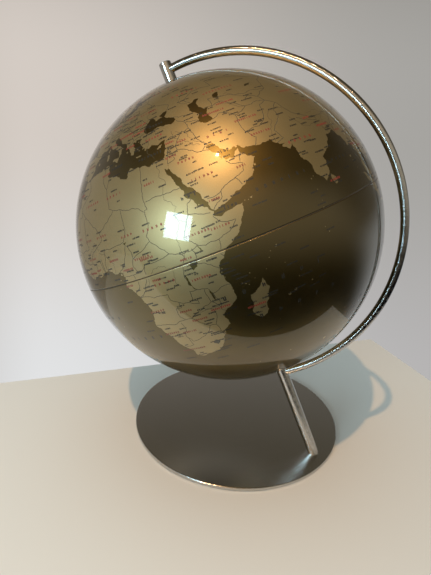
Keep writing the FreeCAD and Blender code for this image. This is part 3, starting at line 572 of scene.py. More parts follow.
RIVERS = """31 31.3, 31.2 30, 31 27, 32.8 25, 31 20.5, 33.9 17.5, 32.5 15.6, 32.7 12, 31 6.5, 32 0.5;
32.5 15.6, 35.2 10.5, 37.4 11.8; 12.5 -6, 15.3 -4.3, 17.8 -0.5, 21 2, 24.5 1.8, 27 -6; 36.2 -18.6, 33 -16,
28.8 -16.4, 25.5 -17.8, 22.9 -13; 6.2 4.8, 7 8, 4 12, -1 16.8, -5 14, -9.5 11; 48.2 30.3, 46.5 32, 44 34.3,
43 36.5, 40 38; 46.5 31, 42 34, 39 36, 38.6 38.6; 67.8 24.3, 68.5 27, 71 30, 73 34, 78 33; 88.3 22.4, 87 25,
80 26.5, 78 30; 90.4 23, 90 25.5, 95 28, 86 29.4; 47.8 46, 44.8 48.7, 47 52, 49.5 54.5, 45 56.2, 38 57.5;
29.5 45.3, 24 43.8, 19 46, 14 48.3, 9 48; 60 44.2, 64 44.9, 68 42, 71 41; 59 43.6, 62 40, 67 37.4; 69 66.4,
66 62, 70 58.5, 80 58, 83 54; 82 71, 87 68, 90 61, 93 56; 126.5 72.5, 124 67, 129 62, 116 59, 107 55.5;
141 53, 137 51, 130 47.8, 122 53.3; 121.5 31.5, 115 29.8, 106 29.5, 100 27, 95 33.5; 118.6 37.6, 110 35,
108 40.5, 103 36; 106.5 10, 105.5 15, 100.5 20, 98 28; -50 0, -60 -3, -70 -4, -75 -9; -89.4 29.2, -91 34,
-90 41, -95 47; -62 9, -67 7, -66 3; -58.4 -34, -60.5 -32, -58.6 -27, -57.6 -21; 31.2 32.4, 30.5 46.6,
30.5 50.4, 32 54.6; 19 54.3, 21 52, 19 50; 138.8 -35.4, 142 -34, 147 -36"""
print(BORDERS.count(";") + 1, "borders and", RIVERS.count(";") + 1, "rivers")

# %% [markdown]
# Real names would need real letters, and small type can't be read at this size anyway. So each
# name is set in greek, as a printer says: a row of upright dashes the size of its letters.
# Towns have a round dot and a short dark row. Countries and seas have wider red or dark rows.
# A row holds longitude, latitude, the number of letters and, for wide names, the letter gap in mm.

# %% Places of towns
TOWNS = """31.2 30 5, 29.9 31.2 10, 13.2 32.9 7, 20.1 32.1 8, 10.2 36.8 5, 3.1 36.8 7, -7.6 33.6 10,
-8 31.6 9, -17.3 14.7 5, -8 12.6 6, 2.1 13.5 6, 8.5 12 4, 3.4 6.7 5, -0.2 5.7 5, -4 5.5 7, -13 8.6 8,
-16 18.1 10, 15 12.1 8, 32.5 15.6 8, 37.1 19.6 9, 38.9 15.3 6, 38.7 9 10, 43 11.6 8, 45.2 2.1 9,
42.5 -0.3 7, 36.8 -1.3 7, 39.6 -4 7, 32.6 0.6 7, 25.2 0.6 9, 15.3 -4.3 8, 15.1 -3.2 11, 9.6 0.6 10,
11.5 3.9 7, 18.6 4.4 6, 13.3 -8.8 6, 13.6 -12.4 6, 15.7 -12.8 6, 27.5 -11.7 10, 22.4 -5.9 7, 29.4 -3.4 9,
30 -1.9 6, 35.7 -6.2 6, 39.2 -6.8 11, 39.3 -5.7 8, 28.3 -15.4 6, 33.8 -14 8, 35 -15.8 8, 31 -17.8 6,
28.6 -20.1 8, 34.8 -19.8 5, 32.5 -25.8 6, 17.1 -22.6 8, 14.6 -22.9 9, 25.9 -24.7 8, 28 -26.2 12,
28.3 -25.5 8, 26.2 -29.1 12, 31 -29.8 6, 27.9 -32.9 10, 25.6 -33.8 12, 18.5 -33.9 8, 47.5 -18.9 12,
49.3 -18.1 8, 43.7 -23.3 6, 57.5 -20.2 9, 55.5 -20.9 7, 55.5 -4.6 8, 43.3 -11.7 6, 35.2 31.8 9, 35.9 31.2 5,
35.5 33.9 6, 36.3 33.4 8, 37.2 36.2 6, 44.4 33.3 7, 47.7 30.5 5, 43.1 36.3 5, 48 29.4 6, 46.7 24.7 6,
39.6 24.5 6, 39.8 21.4 5, 39.2 22.2 6, 51.5 25.3 4, 54.4 24.3 8, 58.5 23.5 6, 54 17.1 7, 44.2 15.4 4,
45 12.9 4, 49.1 14.7 7, 51.4 35.7 6, 51.7 32.7 7, 52.5 29.6 6, 46.3 38.1 6, 59.6 36.3 7, 60.9 29.5 7,
69.2 34.5 5, 65.7 31.6 8, 62.2 34.3 5, 67 24.9 7, 74.3 31.5 6, 73 33.7 9, 67 30.2 6, 77.2 28.6 5,
75.8 26.9 6, 72.6 23 9, 72.9 18.9 6, 73.8 18.2 5, 78.5 17.4 9, 77.6 13 9, 80.2 13.1 6, 88.4 22.6 8,
79.1 21.1 6, 80.3 26.5 6, 79.9 6.9 7, 90.4 23.7 5, 85.3 27.7 9, 96.2 16.9 7, 73.5 4.2 4, 83 17.8 7,
76.3 10 6, 29 41 8, 32.9 39.9 6, 27.1 38.5 5, 23.7 38 6, 23.3 42.7 5, 26.1 44.4 9, 20.5 44.8 8, 19 47.5 8,
16.4 48.2 6, 14.4 50.1 6, 13.4 52.5 6, 21 52.2 6, 12.5 41.9 4, 9.2 45.5 5, 14.3 40.9 6, -3.7 40.4 6,
2.1 41.4 9, -9.1 38.7 6, 2.3 48.9 5, -0.1 51.5 6, 4.9 52.4 9, 10 53.6 7, 12.6 55.7 10, 18 59.3 9,
10.7 59.9 4, 25 60.3 8, 30.5 50.4 4, 30.7 46.6 6, 37.6 55.8 6, 30.3 59.9 9, 44 56.3 5, 49.1 55.8 5,
50.2 53.2 6, 46 51.5 7, 44.5 48.7 9, 39.7 47.3 6, 49.6 40.4 4, 44.8 41.7 7, 44.5 40.2 7, 69.3 41.3 8,
67 39.7 9, 76.9 43.3 8, 58.4 37.9 9, 73.4 55 4, 82.9 55 11, 60.6 56.8 10, 61.4 55.2 10, 73.1 49.8 9,
104.3 52.3 7, 106.9 47.9 9, 116.4 39.9 6, 121.4 31.2 8, 113.3 23.1 6, 114.3 30.6 5, 106.5 29.6 9,
108.9 34.3 4, 126.6 45.8 6, 131.9 43.2 11, 127 37.5 5, 139.7 35.7 5, 135.5 34.7 5, 141.3 43.1 7, 121 14.6 6,
105.8 21 5, 106.7 10.8 6, 100.5 13.8 7, 103.8 1.5 9, 106.8 -6.3 7, 101.7 3.1 11, 98.7 3.6 5, 112.7 -7.3 8,
130.8 -12.5 6, 115.9 -32 5, 138.6 -34.9 8, 145 -37.8 9, 151.2 -33.9 6, 153 -27.5 8, 133.9 -23.7 12,
174.8 -36.9 8, 174.8 -41.3 10, -74 40.7 8, -77 38.9 10, -87.6 41.9 7, -71.1 42.4 6, -80.2 25.8 5, -90 30 10,
-95.4 29.8 7, -96.8 32.8 6, -105 39.7 6, -118.2 34.1 10, -122.4 37.8 12, -122.3 47.6 7, -79.4 43.7 7,
-73.6 45.5 8, -97.1 49.9 8, -114 51 7, -149.9 61.2 9, -99.1 19.4 11, -82.4 23 6, -66.9 10.5 7, -74.1 4.6 6,
-78.5 -0.2 5, -77 -12 4, -68.1 -16.5 5, -70.7 -33.5 8, -58.4 -34.6 11, -56.2 -34.8 10, -46.6 -23.6 8,
-43.2 -22.9 12, -47.9 -15.8 8, -38.5 -12.9 8, -34.9 -8.1 6, -60 -3.1 6, -48.5 -1.4 5"""
print(TOWNS.count(",") + 1, "towns")

# %% [markdown]
# The letters of a country or a sea are spread over the place they name, so these rows have a
# letter gap as well. Notes at sea are set as closely as town names. An islet is too small for
# an outline, so its row gives a place and a width in degrees.

# %% Places of countries and seas
COUNTRIES = """13 27.5 5 4.6, 27.5 26.4 5 2.4, 25 14.6 5 4.8, 15.5 15.2 4 4, 4 17.8 5 3.6, -5 18 4 4,
-14 19.6 10 1.9, 0 28 7 4, -9 32.4 7 1.7, 37 8.2 8 3, 43.5 7.6 7 2.6, 36 1 5 2.8, 31.5 1.6 6 1.9,
18.5 7 7 2.6, 20 6.2 8 1.9, 20.5 -1.8 5 1.9, 22.5 -3.4 5 5.2, 33.5 -5.6 8 2.4, 15.5 -12 6 3,
24.6 -14.6 6 2.2, 15.6 -21.5 7 2.5, 22 -22.4 8 2, 27.4 -18.8 8 2, 35 -17 10 1.9, 18.6 -30.4 12 2.2,
45.2 -20.4 10 1.7, 40.6 28.4 5 3.4, 43.6 22.6 6 3.6, 44.6 15.6 5 2.1, 55 21.4 4 2.4, 52.8 32.2 4 6,
41.2 34.2 4 2.2, 37.3 35.2 5 1.8, 31.8 39 6 3, 36.4 31 6 1.7, 63.6 33.6 11 2, 65.2 28.2 8 2.5,
76 22.6 5 6.4, 80.8 7.6 8 1.5, 55 39.2 12 1.7, 61 41.4 10 1.7, 62.5 47.8 10 3.2, 7.4 9.2 7 2, 12 4.6 8 1.6,
-2.4 7.4 5 1.7, -7 6.8 10 1.5, -4.6 11.8 7 2.2, 10 -1.2 5 1.9, 84 28 5 1.8, 88.6 24.6 10 1.5,
94.5 21.8 5 2.2, 94 33.5 5 4.4, 99 16 8 1.7, 104 15 7 1.7, 88 39 8 2.6, 100 46.4 8 3.6, 84 62 4 9,
40 60 6 5.4, 26 46 7 1.7, 18.8 44.6 10 1.6, 19 52 6 2, 10 51 7 1.9, 1.6 47 6 2.6, -5 40.6 5 2.8,
11.6 43.4 5 2.2, 14.8 62.6 6 2.4, 26 64 7 2, 8.2 61.4 6 1.8, -3 53 7 2, 30 50.2 7 2.6, 49 52.6 6 5,
21.4 39.6 6 1.6, 25 43.2 8 1.5, 9.2 34.6 7 1.5, 108 35 5 7, 127 37.2 5 2, 135.6 36.6 5 3, 120.6 16 11 1.7,
112 0.2 6 3.4, 101 -0.6 7 2.8, 139 -5 9 2.2, 122 -25.6 9 5.4, -108 56 6 8, -106 40 7 8, -104 24.5 6 3.8,
-60 -8 6 7, -68 -34 9 3.4, -76 -9.5 4 3.6, -66 -17 7 2.4, -74 3.6 8 2.4, -69 7.6 9 2.3, -42 73 9 5,
170 -42.6 10 2"""
SEAS = """52 -14.5 6 15, 58 -25 5 15, 64 13.8 7 6.5, 86 13.6 6 5, 38.2 19 3 5, -24 -12 8 14, -34 32 8 12,
2 -22 5 10, 29.5 33.8 8 2.6, 33.5 43.2 5 2.4, 106 -24 6 9, 100 -38 5 12, -130 22 7 14, -140 -24 5 14,
165 10 7 14, 158 32 5 12, -60 60 8 5, 114 14 5 5, 160 -38 6 7, 5 -58 8 12, -90 25.5 6 4, 48 12.2 4 2.6,
52 26.9 4 2.2, 150 -16 5 6, 15 35.2 6 2"""
SEA_NOTES = """41.6 -8.4 8, 42.4 -9.8 11, 43.2 -3.2 12, 48 -5 9, 41.6 -23 10, 46 -33 12, 57 -11.6 10,
62 -8.6 9, 66.6 -13.4 8, 60 -16.8 12, 66 -19.8 8, 62.4 -21.6 10, 71.8 -6.6 9, 70.6 6.4 8, 71.4 1.8 9,
53.6 9.8 13, 61.4 20.6 9, 62.4 19 5, 86.6 9.6 8, 92.6 10.6 9, 8.8 -15 9, 5.6 -6.6 8, 6 -19 10, 4.6 2.2 9,
-10 2.4 10, 2 0.8 8, -20 8 10, -22 16.4 11, 36.6 -36.4 12, 24 -37.8 11, 12 -34.8 12"""
ISLETS = """54 12.3 0.5, 52.1 12.2 0.3, 53.1 12 0.25, 39.4 -6.1 0.4, 39.8 -5.1 0.35, 39.7 -7.9 0.25,
43.4 -11.7 0.5, 44.4 -12.2 0.4, 45.2 -12.8 0.35, 47.3 -11.5 0.25, 55.5 -4.7 0.5, 55.8 -4.3 0.4,
53.7 -5.4 0.3, 52.8 -7.1 0.3, 46.4 -9.4 0.35, 51.1 -10.1 0.25, 56.6 -10.5 0.25, 59.6 -16.5 0.3,
55.5 -21.1 0.9, 57.6 -20.3 0.8, 63.4 -19.7 0.5, 72.5 -7.3 0.4, 71.5 -5.4 0.3, 73.5 4.2 0.35, 73 0.5 0.3,
73.3 2.8 0.25, 73.1 6.8 0.3, 72.6 10.6 0.4, 73.6 11.2 0.3, 92.8 12.5 0.8, 93 10.8 0.5, 93.8 8 0.35,
8.7 3.5 0.8, 7.4 1.6 0.5, 6.6 0.2 0.5, 5.6 -1.4 0.3, -5.7 -16 0.4, -14.4 -8 0.3, -23.6 15 0.6, -25 17 0.5,
-24.2 16.6 0.4, -16.6 28.3 0.8, -15.5 28 0.7, -14 28.4 0.6, -17 32.7 0.5, -25.5 37.8 0.6, 58.7 20.4 0.6,
50.6 26 0.4, 42 16.7 0.4, 40.1 15.8 0.35, 56 26.8 0.6, 28 36.3 0.6, 27 37 0.4, 26.3 39.2 0.6, 25.4 39.9 0.4,
25.5 37 0.4, 24.9 37.6 0.4, 20 38.3 0.6, 3 39.6 0.9, 14.4 35.9 0.4, 50.5 -29 0.2, 77.5 -38 0.3,
69.5 -49.3 1.2, 37.8 -46.8 0.4, 51.7 -46.4 0.4, 105.6 -10.5 0.4, 96.9 -12.2 0.3, -61 14 0.5, -61 16 0.5,
-66.4 18.2 1, -77.3 18.2 1, -155.5 19.6 1, -157.8 21.4 0.5, 178 -17.8 1, 165.5 -21.4 1.3, 167 -15.5 0.9,
160 -9.5 1.2, 19 57.5 0.8, 144.8 13.4 0.4, -171.8 -13.8 0.6, -149.4 -17.6 0.4, -91 -0.6 0.8,
-59.5 -51.7 1.3, -36.8 -54.4 0.8, 116.5 -8.6 0.7"""
listed = {"countries": COUNTRIES, "seas": SEAS, "notes at sea": SEA_NOTES, "islets": ISLETS}
for kind, table in listed.items():
    print(table.count(",") + 1, kind)

# %% [markdown]
# A place is held as a direction from the ball's middle, because directions have no trouble at
# the poles or at the date line. Halving a gap again and again, and pushing each new point a
# little sideways, turns a few corners into a coast. The seed is the row's own number, so the
# same coast comes out on every run and matches on both sides of the equator.

# %% From rows to wandering lines
TUBE_LONGITUDE = 115.2


def rows(text):
    return [tuple(float(value) for value in row.split()) for row in text.split(",")]


def heading(longitude, latitude):
    """The direction of a place, with the north pole up."""
    turn, rise = math.radians(longitude), math.radians(latitude)
    return Vector((math.cos(turn) * math.cos(rise), math.sin(turn) * math.cos(rise), math.sin(rise)))


def wander(corners, closed, sway, step, seed):
    """Corners joined by a line that strays sideways by a share of each gap."""
    chance = random.Random(seed)
    path = [heading(*corner) for corner in corners]
    while True:
        longer = []
        pairs = list(zip(path, path[1:] + path[:1])) if closed else list(zip(path, path[1:]))
        for here, there in pairs:
            longer.append(here)
            gap = (there - here).length
            if gap * RADIUS > step:
                push = here.cross(there).normalized() * gap * sway * chance.uniform(-1, 1)
                longer.append(((here + there) / 2 + push).normalized())
        if not closed:
            longer.append(path[-1])
        if len(longer) == len(path):
            return path
        path = longer


print("a corner at 0 east, 0 north is the direction", list(heading(0, 0)))

# %% [markdown]
# The real print is two round sheets that meet at the equator, and each one is stretched a
# little where it is pressed over its half of the ball. So near the equator the map sits closer
# to the joint than its degrees say. printed_rise() gives that, and sheet_place() lays a place
# out on a flat round sheet whose middle is the pole, the way the sheet looks before pressing.

# %% Flat sheets and back
NORTH_PULL, NORTH_REACH = 0.205, 26.0
SOUTH_PULL, SOUTH_REACH = 0.104, 70.0


def printed_rise(latitude):
    """The angle above the joint at which a latitude is printed."""
    if latitude > 0:
        return latitude * (1 - NORTH_PULL * math.exp(-((latitude / NORTH_REACH) ** 2)))
    return latitude * (1 - SOUTH_PULL * math.exp(-((latitude / SOUTH_REACH) ** 4)))


def turn_and_rise(way):
    """A direction's turn from the tube's side, and its printed rise, in radians."""
    longitude = math.degrees(math.atan2(way.y, way.x))
    rise = printed_rise(math.degrees(math.asin(max(-1.0, min(1.0, way.z)))))
    return math.radians(longitude - TUBE_LONGITUDE), math.radians(rise)


def sheet_place(way, half):
    turn, rise = turn_and_rise(way)
    reach = RADIUS * (math.pi / 2 - half * rise)
    return Vector((reach * math.cos(half * turn), reach * math.sin(half * turn)))


def on_ball(turn, rise, out=0.0):
    """A point on the ball, out metres proud of it."""
    level = math.cos(rise)
    local = Vector((level * math.cos(turn), level * math.sin(turn), math.sin(rise)))
    return GLOBE @ (local * (RADIUS + out))


def lifted(flat, half):
    """Where a point of a flat sheet ends up on the ball."""
    return on_ball(half * math.atan2(flat.y, flat.x), half * (math.pi / 2 - flat.length / RADIUS))


print("10 degrees north is printed at", round(printed_rise(10.0), 2), "degrees above the joint")

# %% [markdown]
# A flat sheet is cut along every coast by a Delaunay triangulation. It takes points and the
# sides that join them, and returns triangles that never cross a side. The points are those of
# every outline, with a field of loose ones between them. The loose ones keep the triangles
# small, so that the sheet stays round when it is pressed over the ball. The outlines come in
# the order of land, inner seas and lakes, islets. The last outline that holds a triangle's
# middle says what the triangle is, and where none does it is sea.

# %% Cut the sheets
COAST_SWAY, COAST_STEP = 0.16, 1.1 * MM
FIELD_STEP = 3.6 * MM
LIP = 1.0 * MM
POLE_HOLE = 4.4 * MM
HOLE_MARGIN, EDGE_MARGIN = 1.3, 0.4
EDGE_SIDES, HOLE_SIDES, ISLET_SIDES = 720, 48, 7
SAME_POINT = 1e-8
POINTS_AT_ONCE = 2000
WATER_SLOT, LAND_SLOT = 0, 1


def ring(radius, count):
    turns = [k * math.tau / count for k in range(count)]
    return [Vector((radius * math.cos(turn), radius * math.sin(turn))) for turn in turns]


def outlines():
    """Every closed loop as a list of directions, with 1 for land and -1 for water."""
    named = [(1, rows(text)) for text in LAND.values()] + [(-1, rows(text)) for text in WATER.values()]
    loops = []
    for seed, (kind, corners) in enumerate(named):
        loops.append((kind, wander(corners, True, COAST_SWAY, COAST_STEP, seed)))
    turns = [k * math.tau / ISLET_SIDES for k in range(ISLET_SIDES)]
    for longitude, latitude, size in rows(ISLETS):
        wide = size / math.cos(math.radians(latitude))
        corners = [(longitude + wide / 2 * math.cos(t), latitude + size / 2 * math.sin(t)) for t in turns]
        loops.append((1, [heading(*corner) for corner in corners]))
    return loops


def holds(loop, points):
    """Which points lie inside a closed loop: those with an odd number of its sides to their right."""
    found = np.zeros(len(points), bool)
    start, end = loop, np.roll(loop, -1, axis=0)
    near = np.all((points > loop.min(axis=0)) & (points < loop.max(axis=0)), axis=1)
    for batch in np.array_split(np.flatnonzero(near), 1 + near.sum() // POINTS_AT_ONCE):
        x, y = points[batch, 0:1], points[batch, 1:2]
        spans = (start[:, 1] > y) != (end[:, 1] > y)
        height = end[:, 1] - start[:, 1]
        height[height == 0] = 1
        passed = x < start[:, 0] + (end[:, 0] - start[:, 0]) * (y - start[:, 1]) / height
        found[batch] = (spans & passed).sum(axis=1) % 2 == 1
    return found


def field(reach):
    """Loose points in staggered rows over a disc."""
    points, rise = [], FIELD_STEP * math.sqrt(3) / 2
    count = int(reach / rise)
    for row in range(-count, count + 1):
        start = FIELD_STEP / 2 if row % 2 else 0.0
        for column in range(-count - 2, count + 3):
            point = Vector((start + column * FIELD_STEP, row * rise))
            if POLE_HOLE * HOLE_MARGIN < point.length < reach - FIELD_STEP * EDGE_MARGIN:
                points.append(point)
    return points


def cut_sheet(half, coasts):
    """The flat sheet's points, its triangles, and True for each triangle that is land."""
    reach = RADIUS * math.pi / 2 - LIP
    loops = [ring(reach, EDGE_SIDES), ring(POLE_HOLE, HOLE_SIDES)]
    kinds = []
    for kind, coast in coasts:
        if any(half * turn_and_rise(way)[1] > 0 for way in coast):
            loops.append([sheet_place(way, half) for way in coast])
            kinds.append(kind)
    points, sides = [], []
    for loop in loops:
        first = len(points)
        sides += [(first + k, first + (k + 1) % len(loop)) for k in range(len(loop))]
        points += loop
    found = geometry.delaunay_2d_cdt(points + field(reach), sides, [], 0, SAME_POINT, False)
    places, triangles = found[0], found[2]
    flat = np.array([place[:] for place in places])
    middles = flat[np.array(triangles)].mean(axis=1)
    far = np.hypot(middles[:, 0], middles[:, 1])
    kept = np.flatnonzero((far < reach) & (far > POLE_HOLE))
    level = np.zeros(len(kept))
    for kind, loop in zip(kinds, loops[2:]):
        shore = np.array([point[:] for point in loop])
        level = np.where(holds(shore, middles[kept]), kind, level)
    return places, [triangles[index] for index in kept], level > 0


coasts = outlines()
print(len(coasts), "coasts with", sum(len(coast) for _, coast in coasts), "points")

# %% [markdown]
# The map is printed in a metallic ink and then lacquered. The sea is a dark bronze with almost
# no colour of its own, so it takes its tone from the room. The land is a paler champagne that
# scatters more light, so it stays visible where the sea goes black. Both lie under the same
# clear coat, which gives the sharp lamp spot and the pale rim. Fine flakes break up the shine
# of the metal but not of the coat, so the lights get a broad glow round a crisp middle.

# %% Map finishes
COAT = {"Coat_Weight": 1.0, "Coat_Roughness": 0.03, "Coat_IOR": 1.5}


def metallic_ink(name, deep, pale, metal, roughness, flake):
    """Lacquered ink with metal flakes, and a tone that drifts slightly over the ball."""
    finish = Finish(name, deep, Metallic=metal, Roughness=roughness, **COAT)
    drift = finish.noise(28.0, 4.0)
    speck = finish.noise(2600.0, 1.0)
    finish.tint(deep, pale, drift * 0.6 + speck * 0.4)
    finish.feed("Roughness", roughness - 0.04 + 0.08 * finish.noise(60.0, 3.0))
    finish.relief(speck, 0.00002, flake)
    return finish.material


def printing_ink(name, colour, second):
    """Plain ink under the lacquer, a little thicker in some places than in others."""
    finish = Finish(name, colour, Roughness=0.5, **COAT)
    finish.tint(colour, second, finish.noise(900.0, 2.0))
    return finish.material


sea_ink = metallic_ink("bronze_sea", (0.125, 0.096, 0.033), (0.153, 0.118, 0.045), 1.0, 0.40, 0.12)
land_ink = metallic_ink("champagne_land", (0.39, 0.315, 0.160), (0.46, 0.372, 0.195), 0.88, 0.47, 0.18)
line_ink = printing_ink("border_ink", (0.060, 0.050, 0.028), (0.085, 0.070, 0.040))
dark_ink = printing_ink("name_ink", (0.016, 0.015, 0.012), (0.030, 0.027, 0.020))
red_ink = printing_ink("country_ink", (0.220, 0.030, 0.020), (0.280, 0.046, 0.028))
print("map finishes", [ink.name for ink in (sea_ink, land_ink, line_ink, dark_ink, red_ink)])

# %% [markdown]
# Each sheet is pressed over its half of the ball. Its outer edge is then extruded ring by ring,
# which turns it in over a soft lip, so the joint at the equator has a real groove with an edge
# that catches the light. The shading normals are set to point straight away from the ball's
# middle, because a mirror finish would show every small unevenness of the triangles.

# %% Press the sheets over the ball
LIP_STEPS = [(0.66, 0.04, 14), (0.44, 0.14, 40), (0.34, 0.30, 68), (0.32, 0.62, 90)]
HOLE_DEPTH = 0.5 * MM


def skin_piece(name, half, node):
    places, triangles, on_land = cut_sheet(half, coasts)
    shape = bmesh.new()
    corners = {}
    for index in sorted({index for triangle in triangles for index in triangle}):
        corners[index] = shape.verts.new(lifted(places[index], half))
    for triangle, land in zip(triangles, on_land):
        face = shape.faces.new([corners[index] for index in triangle])
        face.material_index = LAND_SLOT if land else WATER_SLOT
    print(name, "has", int(on_land.sum()), "land and", int((~on_land).sum()), "water triangles")
    normals = {vert: (vert.co - CENTRE).normalized() for vert in shape.verts}
    rims = [edge for edge in shape.edges if edge.is_boundary]
    outer = [edge for edge in rims if abs((edge.verts[0].co - CENTRE).dot(NORTH)) < RADIUS / 2]
    inner = [edge for edge in rims if edge not in set(outer)]
    for height, inset, tilt in LIP_STEPS:
        grown = bmesh.ops.extrude_edge_only(shape, edges=outer)["geom"]
        outer = [part for part in grown if isinstance(part, bmesh.types.BMEdge)]
        for vert in {vert for edge in outer for vert in edge.verts}:
            side = vert.co - CENTRE
            side = (side - NORTH * side.dot(NORTH)).normalized()
            vert.co = CENTRE + side * (RADIUS - inset * MM) + NORTH * half * height * MM
            lean = math.radians(tilt)
            normals[vert] = side * math.cos(lean) - NORTH * half * math.sin(lean)
    grown = bmesh.ops.extrude_edge_only(shape, edges=inner)["geom"]
    for vert in [part for part in grown if isinstance(part, bmesh.types.BMVert)]:
        vert.co -= NORTH * half * HOLE_DEPTH
        side = vert.co - CENTRE
        normals[vert] = -(side - NORTH * side.dot(NORTH)).normalized()
    finish_piece(name, shape, normals, [sea_ink, land_ink], node)


def finish_piece(name, shape, normals, inks, node=None):
    """Turns a bmesh on the ball into a piece that rides on the globe body."""
    for face in shape.faces:
        face.smooth = True
        if face.normal.dot(normals[face.verts[0]]) < 0:
            face.normal_flip()
    shape.verts.index_update()
    mesh = bpy.data.meshes.new(name)
    ordered = [normals[vert] for vert in shape.verts]
    shape.to_mesh(mesh)
    shape.free()
    mesh.normals_split_custom_set_from_vertices(ordered)
    for ink in inks:
        mesh.materials.append(ink)
    piece = bpy.data.objects.new(name, mesh)
    bpy.context.scene.collection.objects.link(piece)
    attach(piece, "globe")
    if node:
        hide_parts(node)
    print(name, len(mesh.polygons), "faces")


skin_piece("map_sheet_north", 1, "north_map_skin")
skin_piece("map_sheet_south", -1, "south_map_skin")

# %% [markdown]
# Borders and rivers are narrow strips that lie a hair above the sheets. Each is drawn as two
# rails, one on each side of the line, and bridge_loops fills the strip between them. Where a
# line crosses the equator it is broken, so that it doesn't hang over the groove.

# %% Borders and rivers on the ball
INK_RISE = 0.05 * MM
LINE_STEP = 1.6 * MM
GROOVE = 1.1 * MM
FIRST_LINE_SEED = 500


def clear_runs(path):
    """Splits a line where it comes too near the groove at the equator."""
    run = []
    for way in path:
        turn, rise = turn_and_rise(way)
        point = on_ball(turn, rise, INK_RISE)
        if abs(rise) * RADIUS < GROOVE:
            if len(run) > 1:
                yield run
            run = []
        else:
            run.append(point)
    if len(run) > 1:
        yield run


def add_rail(shape, points):
    verts = [shape.verts.new(point) for point in points]
    return [shape.edges.new(pair) for pair in zip(verts, verts[1:])]


def draw_lines(name, text, width, sway, ink):
    shape = bmesh.new()
    for number, row in enumerate(text.split(";")):
        line = wander(rows(row), False, sway, LINE_STEP, FIRST_LINE_SEED + number)
        for run in clear_runs(line):
            left, right = [], []
            for k, point in enumerate(run):
                ahead = run[min(k + 1, len(run) - 1)] - run[max(k - 1, 0)]
                side = (point - CENTRE).cross(ahead).normalized() * width / 2
                left.append(point + side)
                right.append(point - side)
            bmesh.ops.bridge_loops(shape, edges=add_rail(shape, left) + add_rail(shape, right))
    finish_ink(name, shape, ink)


def finish_ink(name, shape, ink):
    """Shades flat ink as part of the ball and makes it a piece."""
    normals = {vert: (vert.co - CENTRE).normalized() for vert in shape.verts}
    shape.normal_update()
    finish_piece(name, shape, normals, [ink])


draw_lines("map_borders", BORDERS, width=0.42 * MM, sway=0.10, ink=line_ink)
draw_lines("map_rivers", RIVERS, width=0.22 * MM, sway=0.22, ink=line_ink)

# %% [markdown]
# A name is set letter by letter along its parallel. Each letter gets its own small frame on the
# ball with x to the east, y to the north and z outwards, so a dash laid in that frame lies flat
# on the ball wherever it is. A letter is one upright dash, and most letters have a second one
# with a short bar between the two. The heights are slightly uneven, which reads as type from a
# distance and says nothing from near by.

# %% Greeked names
DOT_RADIUS, DOT_SIDES = 0.62 * MM, 10
TOWN_SIZE, TOWN_GAP, TOWN_START = 1.35 * MM, 0.86 * MM, 1.3 * MM
STROKE, LEFT_STEM, RIGHT_STEM = 0.24, -0.18, 0.16
BAR_LENGTH, BAR_THICKNESS, BAR_LEVELS = 0.3, 0.20, (-0.36, 0.0, 0.36)
SHARE_WITH_BAR = 0.8
TOWN_SEED, COUNTRY_SEED, SEA_SEED = 11, 12, 13
GROWTH_WITH_GAP, CLOSEST_LETTERS = 0.12, 0.85


def frame_at(longitude, latitude):
    """A frame on the ball's surface: east, north and outwards."""
    turn, rise = turn_and_rise(heading(longitude, latitude))
    out = (on_ball(turn, rise) - CENTRE).normalized()
    east = NORTH.cross(out).normalized()
    frame_here = Matrix((east, out.cross(east), out)).transposed().to_4x4()
    frame_here.translation = on_ball(turn, rise, INK_RISE)
    return frame_here, abs(rise) * RADIUS


def dash(shape, here, x, y, width, height):
    stretched = Matrix.Translation((x, y, 0)) @ Matrix.Diagonal((width, height, 1, 1))
    bmesh.ops.create_grid(shape, x_segments=1, y_segments=1, size=0.5, matrix=here @ stretched)


def set_name(shape, chance, longitude, latitude, letters, size, gap, start=0.0):
    """A row of letters along a parallel, from start metres east of the place."""
    level = RADIUS * math.cos(math.radians(latitude))
    row = bmesh.new()
    for letter in range(int(letters)):
        x = start + letter * gap
        here, clear = frame_at(longitude + math.degrees(x / level), latitude)
        if clear < GROOVE + size / 2:
            continue
        tall = size * chance.uniform(0.78, 1.0)
        dash(row, here, LEFT_STEM * size, 0, STROKE * size, tall)
        if chance.random() < SHARE_WITH_BAR:
            lift = chance.uniform(-0.12, 0.12) * size
            dash(row, here, RIGHT_STEM * size, lift, STROKE * size, size * chance.uniform(0.5, 0.9))
            level_of_bar = chance.choice(BAR_LEVELS) * size
            dash(row, here, 0, level_of_bar, BAR_LENGTH * size, BAR_THICKNESS * size)
    add_row(shape, row)


def add_row(shape, row):
    """Copies a finished row into the big shape, which is quicker than drawing in the big one."""
    mesh = bpy.data.meshes.new("row")
    row.to_mesh(mesh)
    row.free()
    shape.from_mesh(mesh)
    bpy.data.meshes.remove(mesh)


def set_towns():
    """A dot and a short dark row for every town, notes at sea, and two rows near each country's name."""
    chance = random.Random(TOWN_SEED)
    shape = bmesh.new()
    for longitude, latitude, letters in rows(TOWNS):
        here, clear = frame_at(longitude, latitude)
        if clear > GROOVE + DOT_RADIUS:
            dot = bmesh.new()
            bmesh.ops.create_circle(dot, segments=DOT_SIDES, radius=DOT_RADIUS, cap_ends=True, matrix=here)
            add_row(shape, dot)
        set_name(shape, chance, longitude, latitude, letters, TOWN_SIZE, TOWN_GAP, TOWN_START)
    for longitude, latitude, letters in rows(SEA_NOTES):
        set_name(shape, chance, longitude, latitude, letters, TOWN_SIZE, TOWN_GAP)
    for longitude, latitude, *_ in rows(COUNTRIES):
        for side in (-1, 1):
            aside, below = chance.uniform(0.5, 3.0), chance.uniform(1.2, 2.6)
            place = longitude + side * aside, latitude - side * below
            set_name(shape, chance, *place, chance.randint(4, 9), TOWN_SIZE, TOWN_GAP)
    finish_ink("map_town_names", shape, dark_ink)


